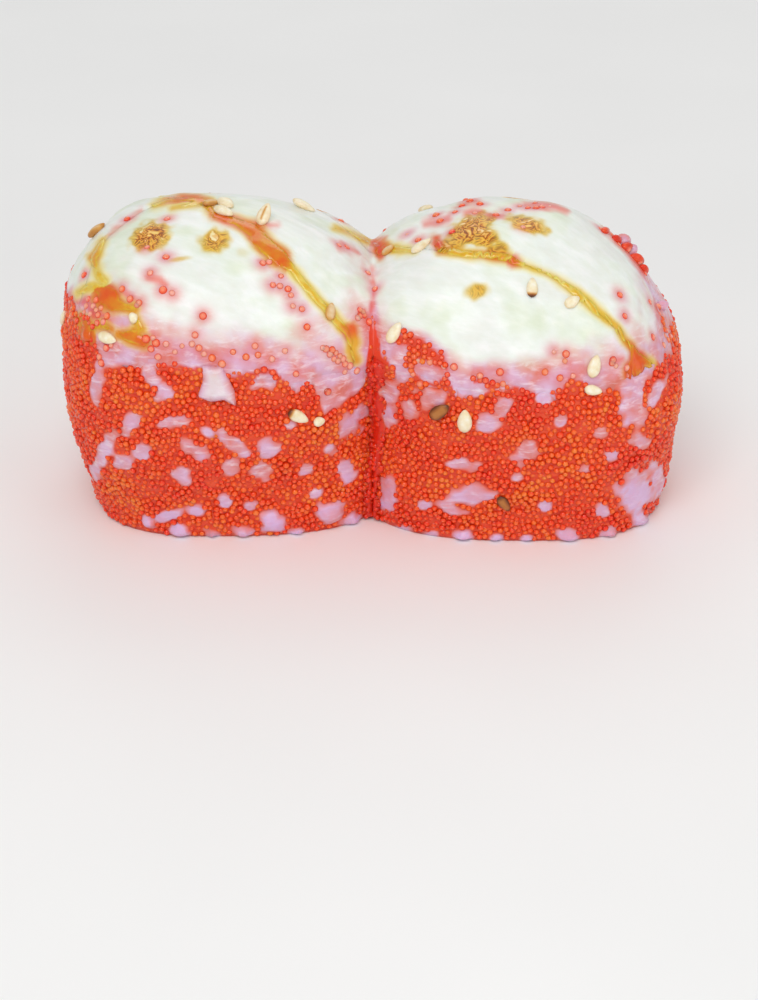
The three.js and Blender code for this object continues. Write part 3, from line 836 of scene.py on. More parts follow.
def torched_fish():
    """Raw white fish, wet and slightly see-through: milky with faint green-grey flakes, pink where roe
    shows through its thin edge, stained by glaze, and blistered golden to brown by a torch."""
    material, tree, pink, red, stain, torch, depth = start_material(
        "torched_white_fish", "pink", "red", "stain", "torch", "depth", IOR=1.38, Subsurface_Weight=0.3,
        Subsurface_Scale=1.2 * MM, Subsurface_Radius=(1.0, 0.85, 0.75), Coat_Weight=0.06,
        Coat_Roughness=0.2,
    )
    place = add_node(tree, "TexCoord", output="Object")
    along = {"Vector": place, "Rotation": (0, 0, math.radians(-32))}
    turned = add_node(tree, "Mapping", along, vector_type="TEXTURE")
    flakes = add_node(tree, "Mapping", {"Vector": turned, "Scale": (0.25, 1, 1)})
    streaks = add_node(
        tree, "TexNoise", {"Vector": flakes, "Scale": per_mm(1.8), "Detail": 4, "Roughness": 0.6}
    )
    clouds = add_node(tree, "TexNoise", {"Vector": place, "Scale": per_mm(7), "Detail": 2})
    white = add_node(
        tree, "ValToRGB", {"Fac": streaks}, ((0.3, "#EAEFE4"), (0.5, "#EFF4EC"), (0.68, "#F7FAF5"))
    )
    cloudy = add_node(
        tree, "ValToRGB", {"Fac": clouds}, ((0.34, "#F3F6E8"), (0.5, "#FFFFFF"), (0.66, "#FDFAFC"))
    )
    blush, _ = roe_blush(tree, place)
    golden = add_node(
        tree, "ValToRGB", {"Fac": depth},
        ((0.0, "#F0DE84"), (0.3, "#E6C03C"), (0.55, "#E0901C"), (0.75, "#E46C18"), (1.0, "#E24414")),
    )
    blisters = add_node(
        tree, "TexNoise",
        {"Vector": place, "Scale": per_mm(2.6), "Detail": 2, "Roughness": 0.65, "Distortion": 1.2},
    )
    torched = add_node(
        tree, "ValToRGB", {"Fac": blisters},
        (
            (0.32, "#F8D070"), (0.4, "#E08C18"), (0.44, "#722C04"), (0.48, "#D07A12"), (0.53, "#F6C048"),
            (0.58, "#8E4006"), (0.62, "#E89A26"), (0.7, "#FFF2C4"),
        ),
    )
    scorched = add_node(tree, "MapRange", {"Value": torch, "From Min": 0.25, "From Max": 0.95}, **SOFT)
    warmed = add_node(tree, "MapRange", {"Value": torch, "From Max": 0.55}, **SOFT)
    flesh = white
    for share, over, blend in (
        (1.0, cloudy, "MULTIPLY"), (pink, blush, "MIX"), (red, "#EA4A2C", "MIX"), (stain, golden, "MIX"),
        (warmed, "#F2CE62", "MULTIPLY"), (scorched, torched, "MIX"),
    ):
        flesh = add_node(
            tree, "Mix", {SHARE: share, UNDER: flesh, OVER: over}, blend_type=blend, **COLOURS
        )
    gloss = add_node(
        tree, "MapRange", {"Value": streaks, "From Min": 0.3, "From Max": 0.7, "To Min": 0.3, "To Max": 0.5}
    )
    grain = add_node(tree, "Bump", {"Height": streaks, "Distance": 0.12 * MM, "Strength": 0.35})
    raised_skin = add_node(tree, "Math", {0: blisters, 1: scorched}, operation="MULTIPLY")
    blistered = add_node(
        tree, "Bump", {"Height": raised_skin, "Distance": 0.35 * MM, "Strength": 0.5, "Normal": grain}
    )
    return linked(material, Base_Color=flesh, Roughness=gloss, Normal=blistered)


def golden_glaze():
    """Sweet soy and mayonnaise glaze, runny and glossy, from golden where thin to burnt orange where
    deep."""
    material, tree, depth = start_material(
        "golden_glaze", "depth", Roughness=0.12, IOR=1.4, Subsurface_Weight=0.3, Coat_Weight=0.2,
        Subsurface_Scale=0.8 * MM, Subsurface_Radius=(1.2, 0.6, 0.15), Coat_Roughness=0.06,
    )
    place = add_node(tree, "TexCoord", output="Object")
    mottled = add_node(tree, "TexNoise", {"Vector": place, "Scale": per_mm(1.8), "Detail": 3})
    shift = add_node(
        tree, "MapRange",
        {"Value": mottled, "From Min": 0.3, "From Max": 0.7, "To Min": -0.12, "To Max": 0.12},
    )
    shifted = add_node(tree, "Math", {0: depth, 1: shift}, operation="ADD")
    colour = add_node(
        tree, "ValToRGB", {"Fac": shifted},
        ((0.0, "#F0D86E"), (0.3, "#E4B42C"), (0.55, "#DE8618"), (0.75, "#E26412"), (1.0, "#E03E10")),
    )
    return linked(material, Base_Color=colour)


def toasted_sesame():
    """Hulled sesame, lightly toasted: matt ivory with a darker seam, brown where it caught the heat, and
    darker along its sides and ends, partly from toasting and partly as painted shade at its rim.
    """
    material, tree, toast = start_material(
        "toasted_sesame", "toast", Roughness=0.42, IOR=1.45, Subsurface_Weight=0.15, Coat_Weight=0.15,
        Subsurface_Scale=0.6 * MM, Subsurface_Radius=(1.0, 0.8, 0.5), Coat_Roughness=0.3,
    )
    place = add_node(tree, "TexCoord", output="Object")
    mottled = add_node(tree, "TexNoise", {"Vector": place, "Scale": per_mm(0.8), "Detail": 3})
    hull = add_node(
        tree, "ValToRGB", {"Fac": mottled}, ((0.3, "#F0DFB4"), (0.55, "#F8EED0"), (0.75, "#FEFAEA"))
    )
    heat = add_node(
        tree, "ValToRGB", {"Fac": toast},
        ((0.0, "#FFFFFF"), (0.4, "#E0AE66"), (0.65, "#B06C30"), (1.0, "#5A2C10")),
    )
    colour = add_node(tree, "Mix", {SHARE: 1.0, UNDER: hull, OVER: heat}, blend_type="MULTIPLY", **COLOURS)
    return linked(material, Base_Color=colour)


def plain_floor():
    """A matt white tabletop, a little cloudy."""
    material, tree = start_material("matt_white_tabletop", Roughness=0.75)
    place = add_node(tree, "TexCoord", output="Object")
    clouds = add_node(tree, "TexNoise", {"Vector": place, "Scale": per_mm(60)})
    shade = add_node(tree, "ValToRGB", {"Fac": clouds}, ((0.3, "#F4F4F3"), (0.7, "#F7F7F6")))
    return linked(material, Base_Color=shade)


ROE = fish_roe()
RICE = sticky_rice()
FISH = torched_fish()
GLAZING = golden_glaze()
SESAME = toasted_sesame()

# --- The roll's upper surface, as one sheet over both slices

FISH_GRID = 140
COVER_GRID = 190
# A finer grid is smoothed in more rounds over the cleft, so that both come out alike.
CLEFT_SMOOTHING = 1400
# How finely the start of the sheet is looked for, and over how many turns it is eased, each way.
START_TURNS = 720
START_LEVELS = 250
EASED_TURNS = 15
# What lays the fish's flakes along X.
FLAKES = np.array([[0.85, -0.53, 0], [0.53, 0.85, 0], [0, 0, 1]])


def disc_grid(count):
    """Turns and shares of the way in, from 0 at the rim to 1 in the middle, of an even grid on a disc."""
    u, v = np.meshgrid(np.linspace(-1, 1, count), np.linspace(-1, 1, count))
    wide = np.abs(u) > np.abs(v)
    radius = np.where(wide, u, v)
    turn = np.where(wide, v / u, 2 - u / v) * math.pi / 4
    x, y = radius * np.cos(turn), radius * np.sin(turn)
    return np.arctan2(y, x).ravel(), 1 - np.hypot(x, y).ravel()


def disc_triangles(count):
    """Two triangles for each square of a grid on a disc, split along the line that points to the middle."""
    row, column = np.divmod(np.arange((count - 1) ** 2), count - 1)
    a = row * count + column
    b, c, d = a + 1, a + count + 1, a + count
    crossed = ((row < count / 2) != (column < count / 2))[:, None]
    first = np.where(crossed, np.stack([a, b, d], 1), np.stack([a, b, c], 1))
    second = np.where(crossed, np.stack([b, c, d], 1), np.stack([a, c, d], 1))
    return np.concatenate([first, second])


def sheet_start(piece, below):
    """The level where the upper sheet of a slice starts, all round: a height below the fish's rim or, over
    the cleft, where the skin comes back over the middle plane. Eased from one to the other. Returns turns,
    levels and whether the cleft is there."""
    turn = np.linspace(0, 2 * math.pi, START_TURNS, endpoint=False)
    rim = level_at(piece, turn, rim_height(piece, turn) - below)
    levels = mix(rim, math.pi / 2, np.linspace(0, 1, START_LEVELS)[:, None])
    past = piece.side * skin(piece, turn, levels)[..., 0] < 0
    over = past.any(0)
    highest = len(levels) - 1 - past[::-1].argmax(0)
    start = np.where(over, levels[highest, np.arange(len(turn))], rim)
    easing = np.exp(-((np.arange(-EASED_TURNS, EASED_TURNS + 1) / (0.4 * EASED_TURNS)) ** 2))
    around = np.concatenate([start[-EASED_TURNS:], start, start[:EASED_TURNS]])
    return turn, np.convolve(around, easing / easing.sum(), "valid"), over.astype(float)


def top_sheet(count, below):
    """The skin of both slices from a height below the fish's rim up, welded where they meet over the cleft.
    Returns a table of places and facings, and the triangles."""
    away, share = disc_grid(count)
    triangles = disc_triangles(count)
    sheets, creases = [], []
    for piece in SLICES:
        turn = away if piece.side < 0 else math.pi - away
        turns, levels, over = sheet_start(piece, below)
        low = np.interp(turn, turns, levels, period=2 * math.pi)
        sheets.append(clear_of_cleft(skin(piece, turn, mix(low, math.pi / 2, share)), piece, 0))
        creases.append((np.interp(turn, turns, over, period=2 * math.pi) > 0.5) & (share < 1e-6))
    crease = creases[0] & creases[1]
    met = (sheets[0] + sheets[1]) / 2
    met[:, 0] = 0
    for sheet in sheets:
        sheet[crease] = met[crease]
    number = np.arange(len(away)) + len(away)
    number[crease] = np.nonzero(crease)[0]
    triangles = np.concatenate([triangles, number[triangles[:, ::-1]]])
    points, triangles = tidy(np.concatenate(sheets), triangles)
    near_cleft = np.exp(-((points[:, 0] / CLEFT_WIDTH) ** 2)) * (above_rim(points) > 1.5)
    points = smooth(points, triangles, 0.8 * near_cleft, round(count**2 / CLEFT_SMOOTHING))
    return np.hstack([points, point_normals(points, triangles)]), triangles


def lumps(points):
    """Soft lumps of the fish, and of the rice and roe that meet it."""
    return 0.2 * waves(points, 10, 40) + 0.08 * waves(points, 4, 41)


def fish_relief(table):
    """The fish's unevenness: soft lumps with fine flakes along them, and a rim that thins out."""
    points = table[:, :3]
    flakes = points @ FLAKES.T * (0.2, 1, 1)
    above = above_rim(points)
    lift = lumps(points) + 0.03 * waves(flakes, 1.5, 4) * smoothstep(0, 2, above)
    return lift - (ROE_DEPTH - BARE_RISE) * (1 - smoothstep(0, 3, above)) + 0.12 * np.minimum(above, 0)


def raised(table, lift):
    """A table's places moved out along their facings."""
    return table[:, :3] + table[:, 3:6] * np.broadcast_to(lift, len(table))[:, None]


def patch_of(sheet, field, *values):
    """The part of a sheet where a field is above zero. The field and the values are added to its table."""
    table, triangles = sheet
    table = np.column_stack([table, field, *values])
    table, inside, _ = cut_along(table, triangles, field)
    return tidy(table, inside)


# --- Fish slices

CURVE_STEPS = 14
# Beside each seam, more lines of points follow it at these distances.
BESIDE_SEAM = (0.9, -0.9, 0.4, -0.4)


def plan_curve(points):
    """A smooth curve through points in plan."""
    p = np.array([points[0], *points, points[-1]], float)
    t = np.linspace(0, 1, CURVE_STEPS, endpoint=False)[:, None]
    parts = [
        0.5 * (2 * b + (c - a) * t + (2 * a - 5 * b + 4 * c - d) * t**2 + (3 * b - a - 3 * c + d) * t**3)
        for a, b, c, d in zip(p, p[1:], p[2:], p[3:])
    ]
    return np.concatenate([*parts, p[-1:]])


def side_of(points, curve):
    """Distance from a curve in plan, above zero on its left as it runs."""
    signed = np.full(len(points), 1e9)
    for start, step in zip(curve[:-1], np.diff(curve, axis=0)):
        _, distance = near_segment(points[:, :2], start, step)
        x, y = (points[:, :2] - start).T
        own_side = np.where(step[0] * y - step[1] * x > 0, distance, -distance)
        signed = np.where(distance < np.abs(signed), own_side, signed)
    return signed


def parted(table, triangles, curve):
    """Cuts a sheet along a curve in plan, with points in line along it, into its left and right parts."""
    for aside in BESIDE_SEAM:
        table, left, right = cut_along(table, triangles, side_of(table, curve) - aside)
        triangles = np.concatenate([left, right])
    table, triangles = tidy(table, triangles)
    table, left, right = cut_along(table, triangles, side_of(table, curve))
    return tidy(table, left), tidy(table, right)


def fish_parts():
    """The four fish slices as sheets, each with the seams beside it."""
    seams = (RIGHT_SEAM, BACK_LEFT_SEAM + LEFT_SEAM[1:], END_SEAM)
    right_curve, left_curve, end_curve = map(plan_curve, seams)
    right, rest = parted(*top_sheet(FISH_GRID, FISH_FILM), right_curve)
    middle, rest = parted(*rest, left_curve)
    left, end = parted(*rest, end_curve)
    return {
        "fish_right": (*right, (right_curve,)),
        "fish_middle": (*middle, (right_curve, left_curve)),
        "fish_left": (*left, (left_curve, end_curve)),
        "fish_end": (*end, (left_curve, end_curve)),
    }


# --- The rice under the roe

BED_TURNS = 330
BED_ROWS = 66
TOP_ROWS = 8
# The lowest row starts this far up and is pressed down to the floor. Round the rim the sheet steps in under
# the fish between these two heights over it, and it ends at this share of the way to the top.
FOOT = 0.25
STEP_IN = (0.8, 1.2)
TOP_END = 0.97
# The made-up bare patches on the back: how many, and between which values of x, y, width, height and turn.
BACK_PATCHES = 60
BACK_PATCH_RANGES = ((75, 670), (385, 520), (8, 34), (7, 20), (-50, 50))


def bed_sheet(piece):
    """The surface of one slice's rice from the floor up to the top under the fish, row by row."""
    turn = np.linspace(0, 2 * math.pi, BED_TURNS, endpoint=False)
    rim = rim_height(piece, turn)
    rows = []
    for share in np.linspace(0, 1, BED_ROWS):
        height = mix(FOOT, rim + STEP_IN[0], share)
        rows.append(skin(piece, turn, level_at(piece, turn, height), ROE_DEPTH))
    start = level_at(piece, turn, rim + STEP_IN[1])
    for share in np.linspace(0, TOP_END, TOP_ROWS):
        level = mix(start, math.pi / 2, share)
        above = skin(piece, turn, level)[:, 2] - rim
        rows.append(skin(piece, turn, level, fish_depth(above) + FISH_CLEARANCE))
    rows[0][:, 2] = 0
    points = np.concatenate(rows)
    triangles = ring_triangles(len(rows), BED_TURNS)
    return np.hstack([points, point_normals(points, triangles)]), triangles


def clear_of_cleft(points, piece, overlap):
    """Presses points back to a slice's own side of the cleft, or just past it."""
    points = points.copy()
    points[:, 0] = piece.side * np.maximum(points[:, 0] * piece.side, -overlap)
    return points


def capped(points, triangles, ring):
    """Closes a wrapped sheet with a fan at its first and last rings."""
    last = len(points) - ring
    low, high = len(points), len(points) + 1
    points = np.concatenate([points, [points[:ring].mean(0), points[last:].mean(0)]])
    i = np.arange(ring)
    after = (i + 1) % ring
    bottom = np.stack([np.full(ring, low), after, i], 1)
    top = np.stack([np.full(ring, high), last + i, last + after], 1)
    return points, np.concatenate([triangles, bottom, top])


def back_patches():
    """Bare rice on the side that the photograph doesn't show, as patches of the back page."""
    draw = np.random.default_rng(61)
    columns = [draw.uniform(low, high, BACK_PATCHES) for low, high in BACK_PATCH_RANGES]
    return [(x + BACK_PAGE, *rest) for x, *rest in zip(*columns)]


def bare_field(sight, table):
    """Above zero where rice shows between the roe: in patches, and in a ragged band at the fish's rim."""
    pixels = sight.page(table)
    ragged = 0.3 * waves(table, 2.6, 5) + 0.14 * waves(table, 1.3, 6)
    roe_edge = np.interp(front(pixels)[:, 0], *sight.roe_edge)
    band = (above_rim(table) - roe_edge + 0.35 * waves(table, 2.2, 8)) / 2
    patches = BARE_PATCHES + SWOLLEN_GRAINS + back_patches()
    grown = [(x, y, width + 4, height + 4, turn) for x, y, width, height, turn in patches]
    return np.maximum(in_patches(pixels, grown) + ragged, band)


def cleft_film(sight, table):
    """1 where juice fills the cleft between the slices and painted shade darkens it, 0 away from it."""
    inside, _ = in_strokes(front(sight.page(table)), [CLEFT_FILM])
    return smoothstep(-4, 2, inside + 1.5 * waves(table, 2.5, 15))


# --- Many small things, as joined meshes

def ball(cuts):
    """A ball of diameter 1 from a cube with each face cut into squares."""
    shape = bmesh.new()
    bmesh.ops.create_cube(shape, size=2)
    bmesh.ops.subdivide_edges(shape, edges=shape.edges, cuts=cuts, use_grid_fill=True)
    bmesh.ops.triangulate(shape, faces=shape.faces)
    points = unit(np.array([v.co for v in shape.verts])) / 2
    faces = np.array([[v.index for v in f.verts] for f in shape.faces])
    shape.free()
    return points, faces


def any_turns(count, draw):
    """Random turns as matrices."""
    a, b, c, d = unit(draw.normal(size=(count, 4))).T
    rows = [
        1 - 2 * (c * c + d * d), 2 * (b * c - a * d), 2 * (b * d + a * c),
        2 * (b * c + a * d), 1 - 2 * (b * b + d * d), 2 * (c * d - a * b),
        2 * (b * d - a * c), 2 * (c * d + a * b), 1 - 2 * (b * b + c * c),
    ]
    return np.stack(rows, 1).reshape(-1, 3, 3)


def joined(shape, places, frames):
    """One mesh of many copies of a shape, each turned and sized by a matrix and moved to its place."""
    points, faces = shape
    copies = np.einsum("nij,pj->npi", frames, points) + places[:, None]
    numbers = faces[None] + (np.arange(len(places)) * len(points))[:, None, None]
    return copies.reshape(-1, 3), numbers.reshape(-1, 3)


def sprinkle(table, triangles, count, draw):
    """Random rows for places spread evenly over a sheet."""
    corners = table[triangles]
    a, b, c = np.moveaxis(corners[..., :3], 1, 0)
    area = np.linalg.norm(np.cross(b - a, c - a), axis=1)
    chosen = draw.choice(len(triangles), count, p=area / area.sum())
    shares = draw.dirichlet((1, 1, 1), count)
    found = np.einsum("ni,nij->nj", shares, corners[chosen])
    found[:, 3:6] = unit(found[:, 3:6])
    return found


def spaced(points, distance):
    """The numbers of points that keep a distance from all points kept before them."""
    cells, kept = {}, []
    around = [(i, j, k) for i in (-1, 0, 1) for j in (-1, 0, 1) for k in (-1, 0, 1)]
    for number, point in enumerate(points.tolist()):
        cell = tuple(math.floor(c / distance) for c in point)
        beside = (cells.get((cell[0] + i, cell[1] + j, cell[2] + k), ()) for i, j, k in around)
        if all(math.dist(point, other) >= distance for others in beside for other in others):
            cells.setdefault(cell, []).append(point)
            kept.append(number)
    return np.array(kept)


def make_eggs(name, shape, table, milky, deep, seed):
    """Roe eggs as one mesh, at a table's places. Milky and deep are colours of each, and so is a tint that
    drifts over the roll. Deep is painted shade that darkens the eggs in the cleft. Each point also knows
    how far it faces out, which the material turns into painted light on each egg."""
    draw = np.random.default_rng(seed)
    places, facings = table[:, :3], table[:, 3:6]
    sizes = EGG_DIAMETER * draw.normal(1, 0.07, len(places)).clip(0.8, 1.2)
    turns = any_turns(len(places), draw)
    points, faces = joined(shape, places, turns * sizes[:, None, None])
    directions = joined(shape, np.zeros_like(places), turns * 2)[0].reshape(len(places), -1, 3)
    facing = np.einsum("npi,ni->np", directions, facings)
    tint = 0.5 + 0.3 * waves(places, 9, 31) + 0.2 * waves(places, 3, 32) + draw.normal(0, 0.12, len(places))
    each = len(shape[0])
    fields = {
        # How far each point faces out, which the material turns into painted shade at each egg's rim and a
        # painted highlight in its middle.
        "facing": facing.ravel().clip(0, 1),
        # Eggs in the cleft take the darkest tint: painted shade.
        "tint": np.repeat(mix(tint.clip(0, 1), 0, deep), each),
        "milky": np.repeat(milky, each),
    }
    return make_mesh(name, points, faces, ROE, fields)


def seed_shape():
    """A sesame seed lying along X: a flattened drop, blunt at one end and pointed at the other."""
    points, faces = ball(5)
    length, width, thickness = SEED
    along = points[:, 0] * 2
    narrowing = 1 - 0.24 * along - 0.14 * along**2
    sizes = np.stack([np.full(len(points), length), width * narrowing, thickness * narrowing], 1)
    return points * sizes, faces


# --- Making the roll

# How many places are tried for a slice's eggs, on the rice and again on the fish.
EGG_TRIES = 90000


def glaze_field(sight, table):
    """How many pixels inside the glaze's edge places are, and the glaze's depth of colour there. On the
    hidden side it runs along the seams."""
    pixels = sight.page(table)
    inside, depth = in_strokes(pixels, GLAZE)
    hidden = (pixels[:, 0] > BACK_PAGE / 2) & (above_rim(table) > 0.5)
    for curve in (BACK_LEFT_SEAM, RIGHT_SEAM):
        off_seam = np.abs(side_of(table, plan_curve(curve))) * PIXELS_PER_MM
        beside = np.where(hidden, 3 + 2.5 * waves(table, 9, 22) - off_seam, -99)
        depth = np.where(beside > inside, 0.5 + 0.3 * waves(table, 7, 23), depth)
        inside = np.maximum(inside, beside)
    return inside, depth.clip(0, 1)


def sunk_in_roe(sight, table, pixels):
    """How far places of the fish lie below the line where its white turns pink, as a share of the way to
    the line where the roe begins."""
    across = front(pixels)[:, 0]
    flesh_edge = np.interp(across, *sight.flesh_edge)
    roe_edge = np.interp(across, *sight.roe_edge)
    return (flesh_edge - above_rim(table)) / np.maximum(flesh_edge - roe_edge, 1.5)


def make_fish(sight, parts, loose):
    """The four fish slices, with the colours of what lies on them soaked in."""
    for name, (table, triangles, seams) in parts.items():
        points = table[:, :3]
        to_seam = np.min([np.abs(side_of(points, curve)) for curve in seams], 0)
        outer = raised(table, fish_relief(table) - SEAM_GROOVE * np.exp(-((to_seam / SEAM_WIDTH) ** 2)))
        inner = raised(table, -fish_depth(above_rim(points)))
        solid, faces = closed_shell(outer, inner, triangles)
        pixels = sight.page(table)
        glaze, depth = glaze_field(sight, table)
        smears, _ = in_strokes(pixels, RED_SMEARS)
        ragged = waves(points, 2.2, 10)
        sunk = sunk_in_roe(sight, table, pixels) + 0.12 * waves(points, 4, 9) + 0.08 * ragged
        under_roe = smoothstep(0.04, -0.16, bare_field(sight, table))
        near_egg = np.zeros(len(points))
        for place in loose:
            near_egg = np.maximum(near_egg, np.exp(-(((points - place) / EGG_HALO) ** 2).sum(1)))
        torch = np.zeros(len(points))
        for spot in TORCHED_SPOTS:
            share = in_patches(pixels, [spot]) + 0.2 * waves(points, 1.6, 11)
            torch = np.maximum(torch, smoothstep(-0.7, 0.6, share) * spot[5])
        fields = {
            "pink": np.maximum(smoothstep(-0.35, 0.6, sunk), 0.75 * near_egg),
            "red": np.max([0.7 * smoothstep(-5, 3.5, smears + 1.5 * ragged), under_roe, 0.4 * near_egg], 0),
            "stain": smoothstep(-7.5, 1.5, glaze + 1.2 * ragged),
            "depth": depth - 0.35 * smoothstep(1, -5, glaze),
            "torch": torch,
        }
        doubled = {field: np.tile(values, 2) for field, values in fields.items()}
        fish = make_mesh(name.replace("fish", "torched_fish"), solid, faces, FISH, doubled)
        finish_piece(fish, "fish", name)


def make_rice(sight, piece, bed):
    """One slice's rice: bare patches and swollen grains stand out, and juice fills the cleft, where the
    rice is also darkened by painted shade.
    """
    table, triangles = bed
    bare = bare_field(sight, table)
    cleft = cleft_film(sight, table)
    above = above_rim(table)
    shown = smoothstep(1.2, 0.2, above) * (table[:, 2] > 0)
    swollen = in_patches(sight.page(table), SWOLLEN_GRAINS)
    rise = mix(FILM_RISE, BARE_RISE, smoothstep(-0.1, 0.35, bare))
    rise += SWOLLEN_RISE * smoothstep(-0.2, 0.7, swollen)
    rise += mix(0.08 * waves(table, 2.4, 12), lumps(table), smoothstep(-2, 0, above))
    laid = raised(table, (rise + CLEFT_JUICE * cleft) * shown)
    fill = CLEFT_FILL * cleft * shown * smoothstep(CLEFT_WIDTH, 0, np.abs(laid[:, 0]))
    laid[:, 1] += np.sign(laid[:, 1]) * fill
    solid, faces = capped(clear_of_cleft(laid, piece, CLEFT_OVERLAP), triangles, BED_TURNS)
    low = smoothstep(14, 2, solid[:, 2]) * 0.6 + 0.3 * waves(solid, 5, 13)
    # deep carries the painted shade of the cleft to the material.
    fields = {"bare": np.append(bare, [1, 1]), "lilac": low.clip(0, 1), "deep": np.append(cleft, [0, 0])}
    rice = make_mesh(f"rice_{piece.name}", solid, faces, RICE, fields)
    finish_piece(rice, "roe_rice", f"roe_rice_{piece.name}")


def make_roe(sight, piece, bed, cover):
    """The roe that covers a slice's rice and reaches over the fish's edge."""
    draw = np.random.default_rng(70 + piece.side)
    on_rice = sprinkle(*bed, EGG_TRIES, draw)
    on_rice = on_rice[above_rim(on_rice) < ROE_RIM]
    on_fish = sprinkle(*cover, EGG_TRIES, draw)
    on_fish = on_fish[(above_rim(on_fish) >= ROE_RIM) & (above_rim(on_fish) < ROE_REACH)]
    on_fish[:, :3] = raised(on_fish, fish_relief(on_fish) - 0.15)
    eggs = np.concatenate([on_rice, on_fish])
    eggs = eggs[(eggs[:, 0] * piece.side > 0.1) & (eggs[:, 2] > 0.45)]
    eggs = eggs[bare_field(sight, eggs) < draw.normal(-0.04, 0.05, len(eggs))]
    eggs = eggs[spaced(eggs[:, :3], EGG_SPACING)]
    # Eggs in the cleft are thinned out, pushed out with the juice and darkened by painted shade.
    deep = cleft_film(sight, eggs)
    kept = draw.random(len(eggs)) > 0.4 * deep
    eggs, deep = eggs[kept], deep[kept]
    above = above_rim(eggs)
    lift = 0.02 + 0.12 * waves(eggs, 3, 14) + draw.normal(0, 0.06, len(eggs))
    lift += lumps(eggs) * smoothstep(-2, 0, above) * (above < ROE_RIM)
    fill = CLEFT_FILL * deep * smoothstep(CLEFT_WIDTH, 0, np.abs(eggs[:, 0])) * (above < ROE_RIM)
    eggs[:, :3] = raised(eggs, lift)
    eggs[:, 1] += np.sign(eggs[:, 1]) * fill
    eggs[:, 2] = np.maximum(eggs[:, 2], EGG_DIAMETER * 0.55)
    milky = 0.25 * smoothstep(-1, 1, above) * draw.uniform(0, 1, len(eggs))
    finish_piece(make_eggs(f"roe_{piece.name}", ball(1), eggs, milky, deep, 80 + piece.side), "roe_rice")


def make_loose_roe(found):
    """Loose eggs on the fish, swollen, each a little sunk and milky under a film of moisture."""
    draw = np.random.default_rng(90)
    table = np.array([[*place, *facing] for place, facing in found])
    milky = draw.uniform(0.2, 0.9, len(table))
    table[:, :3] = raised(table, -0.16 - 0.26 * milky)
    points, faces = ball(3)
    swollen = (points * LOOSE_EGG_SWELLING, faces)
    finish_piece(make_eggs("loose_roe", swollen, table, milky, np.zeros(len(table)), 91), "roe_rice")


def make_glaze(sight, cover):
    """The glaze, as thin closed pools that fill the seams and thin out to nothing at their edges."""
    table, triangles = cover
    inside, depth = glaze_field(sight, table)
    inside = inside + 0.9 * waves(table, 2, 20) + 0.6 * waves(table, 0.9, 21) - 0.3
    table, triangles = patch_of(cover, inside, depth)
    inside, depth = table[:, 6:8].T
    above = above_rim(table)
    over_roe = smoothstep(1.0, -0.5, above)
    uneven = 1 + 0.35 * waves(table, 2.2, 24)
    thickness = (GLAZE_THICKNESS * uneven + GLAZE_OVER_ROE * over_roe) * smoothstep(0, 6, inside) - 0.02
    relief = fish_relief(table) - 0.12 * np.minimum(above, 0) + 0.15 * over_roe
    inner = raised(table, relief - GLAZE_ROOT)
    solid, faces = closed_shell(raised(table, relief + thickness), inner, triangles)
    edge = 0.3 * (1 - smoothstep(0, 3, inside)) * (1 - over_roe)
    fields = {"depth": np.tile((depth - edge).clip(0, 1), 2)}
    finish_piece(make_mesh("golden_glaze", solid, faces, GLAZING, fields), "sauce")


def make_flap(sight, cover):
    """The folded corner of fish that hangs down over the roe, lifting off at its lower edge."""
    pixels = sight.page(cover[0])
    inside = in_outline(pixels, FLAP) + 0.6 * waves(cover[0], 2, 25)
    table, triangles = patch_of(cover, inside, pixels[:, 1])
    inside, down = table[:, 6:8].T
    base = 0.4 * smoothstep(FLAP[0][1], FLAP[4][1], down) - 0.15
    edge = np.sqrt(np.clip(inside / 5, 0, 1))
    outer = raised(table, base + 0.75 * edge + 0.12 * waves(table, 3, 26))
    solid, faces = closed_shell(outer, raised(table, base - 0.35), triangles)
    fields = dict.fromkeys(("red", "stain", "torch", "depth"), np.zeros(len(solid)))
    fields["pink"] = np.tile(mix(1.0, 0.45, np.clip(inside / 8, 0, 1)), 2)
    finish_piece(make_mesh("fish_flap", solid, faces, FISH, fields), "fish")


def make_shoulder_rice(sight):
    """Lumps of rice that stand out beside the fish, high on the right, bare or red with juice."""
    shape = ball(8)
    places, frames = [], []
    for x, y, width, height, turn, thickness, _ in SHOULDER_LUMPS:
        place, facing = sight.spot(x, y)
        along = unit(np.cross((0, 0, 1), facing))
        up = np.cross(facing, along)
        c, s = cos_sin(turn)
        along, up = along * c + up * s, up * c - along * s
        width, height = width / PIXELS_PER_MM, height / PIXELS_PER_MM
        places.append(place)
        frames.append(np.stack([along * width, up * height, facing * thickness], 1))
    points, faces = joined(shape, np.array(places), np.array(frames))
    points += 0.12 * waves(points, 2.5, 16)[:, None] * unit(points - (0, 0, HEIGHT / 2))
    fields = dict.fromkeys(("lilac", "deep"), np.zeros(len(points)))
    fields["bare"] = np.repeat([lump[-1] for lump in SHOULDER_LUMPS], len(shape[0]))
    finish_piece(make_mesh("shoulder_rice", points, faces, RICE, fields), "roe_rice")
    return points, faces


# How brown each kind of seed is.
TOASTED = {"plain": 0.0, "golden": 0.22, "slit": 0.0, "stained": 0.3, "tipped": 0.0, "brown": 0.6}
# A seed's middle lies this far over the fish: a share of its girth, and of its length if it leans up.
SEED_RISE = 0.24
LEANING_RISE = 0.34


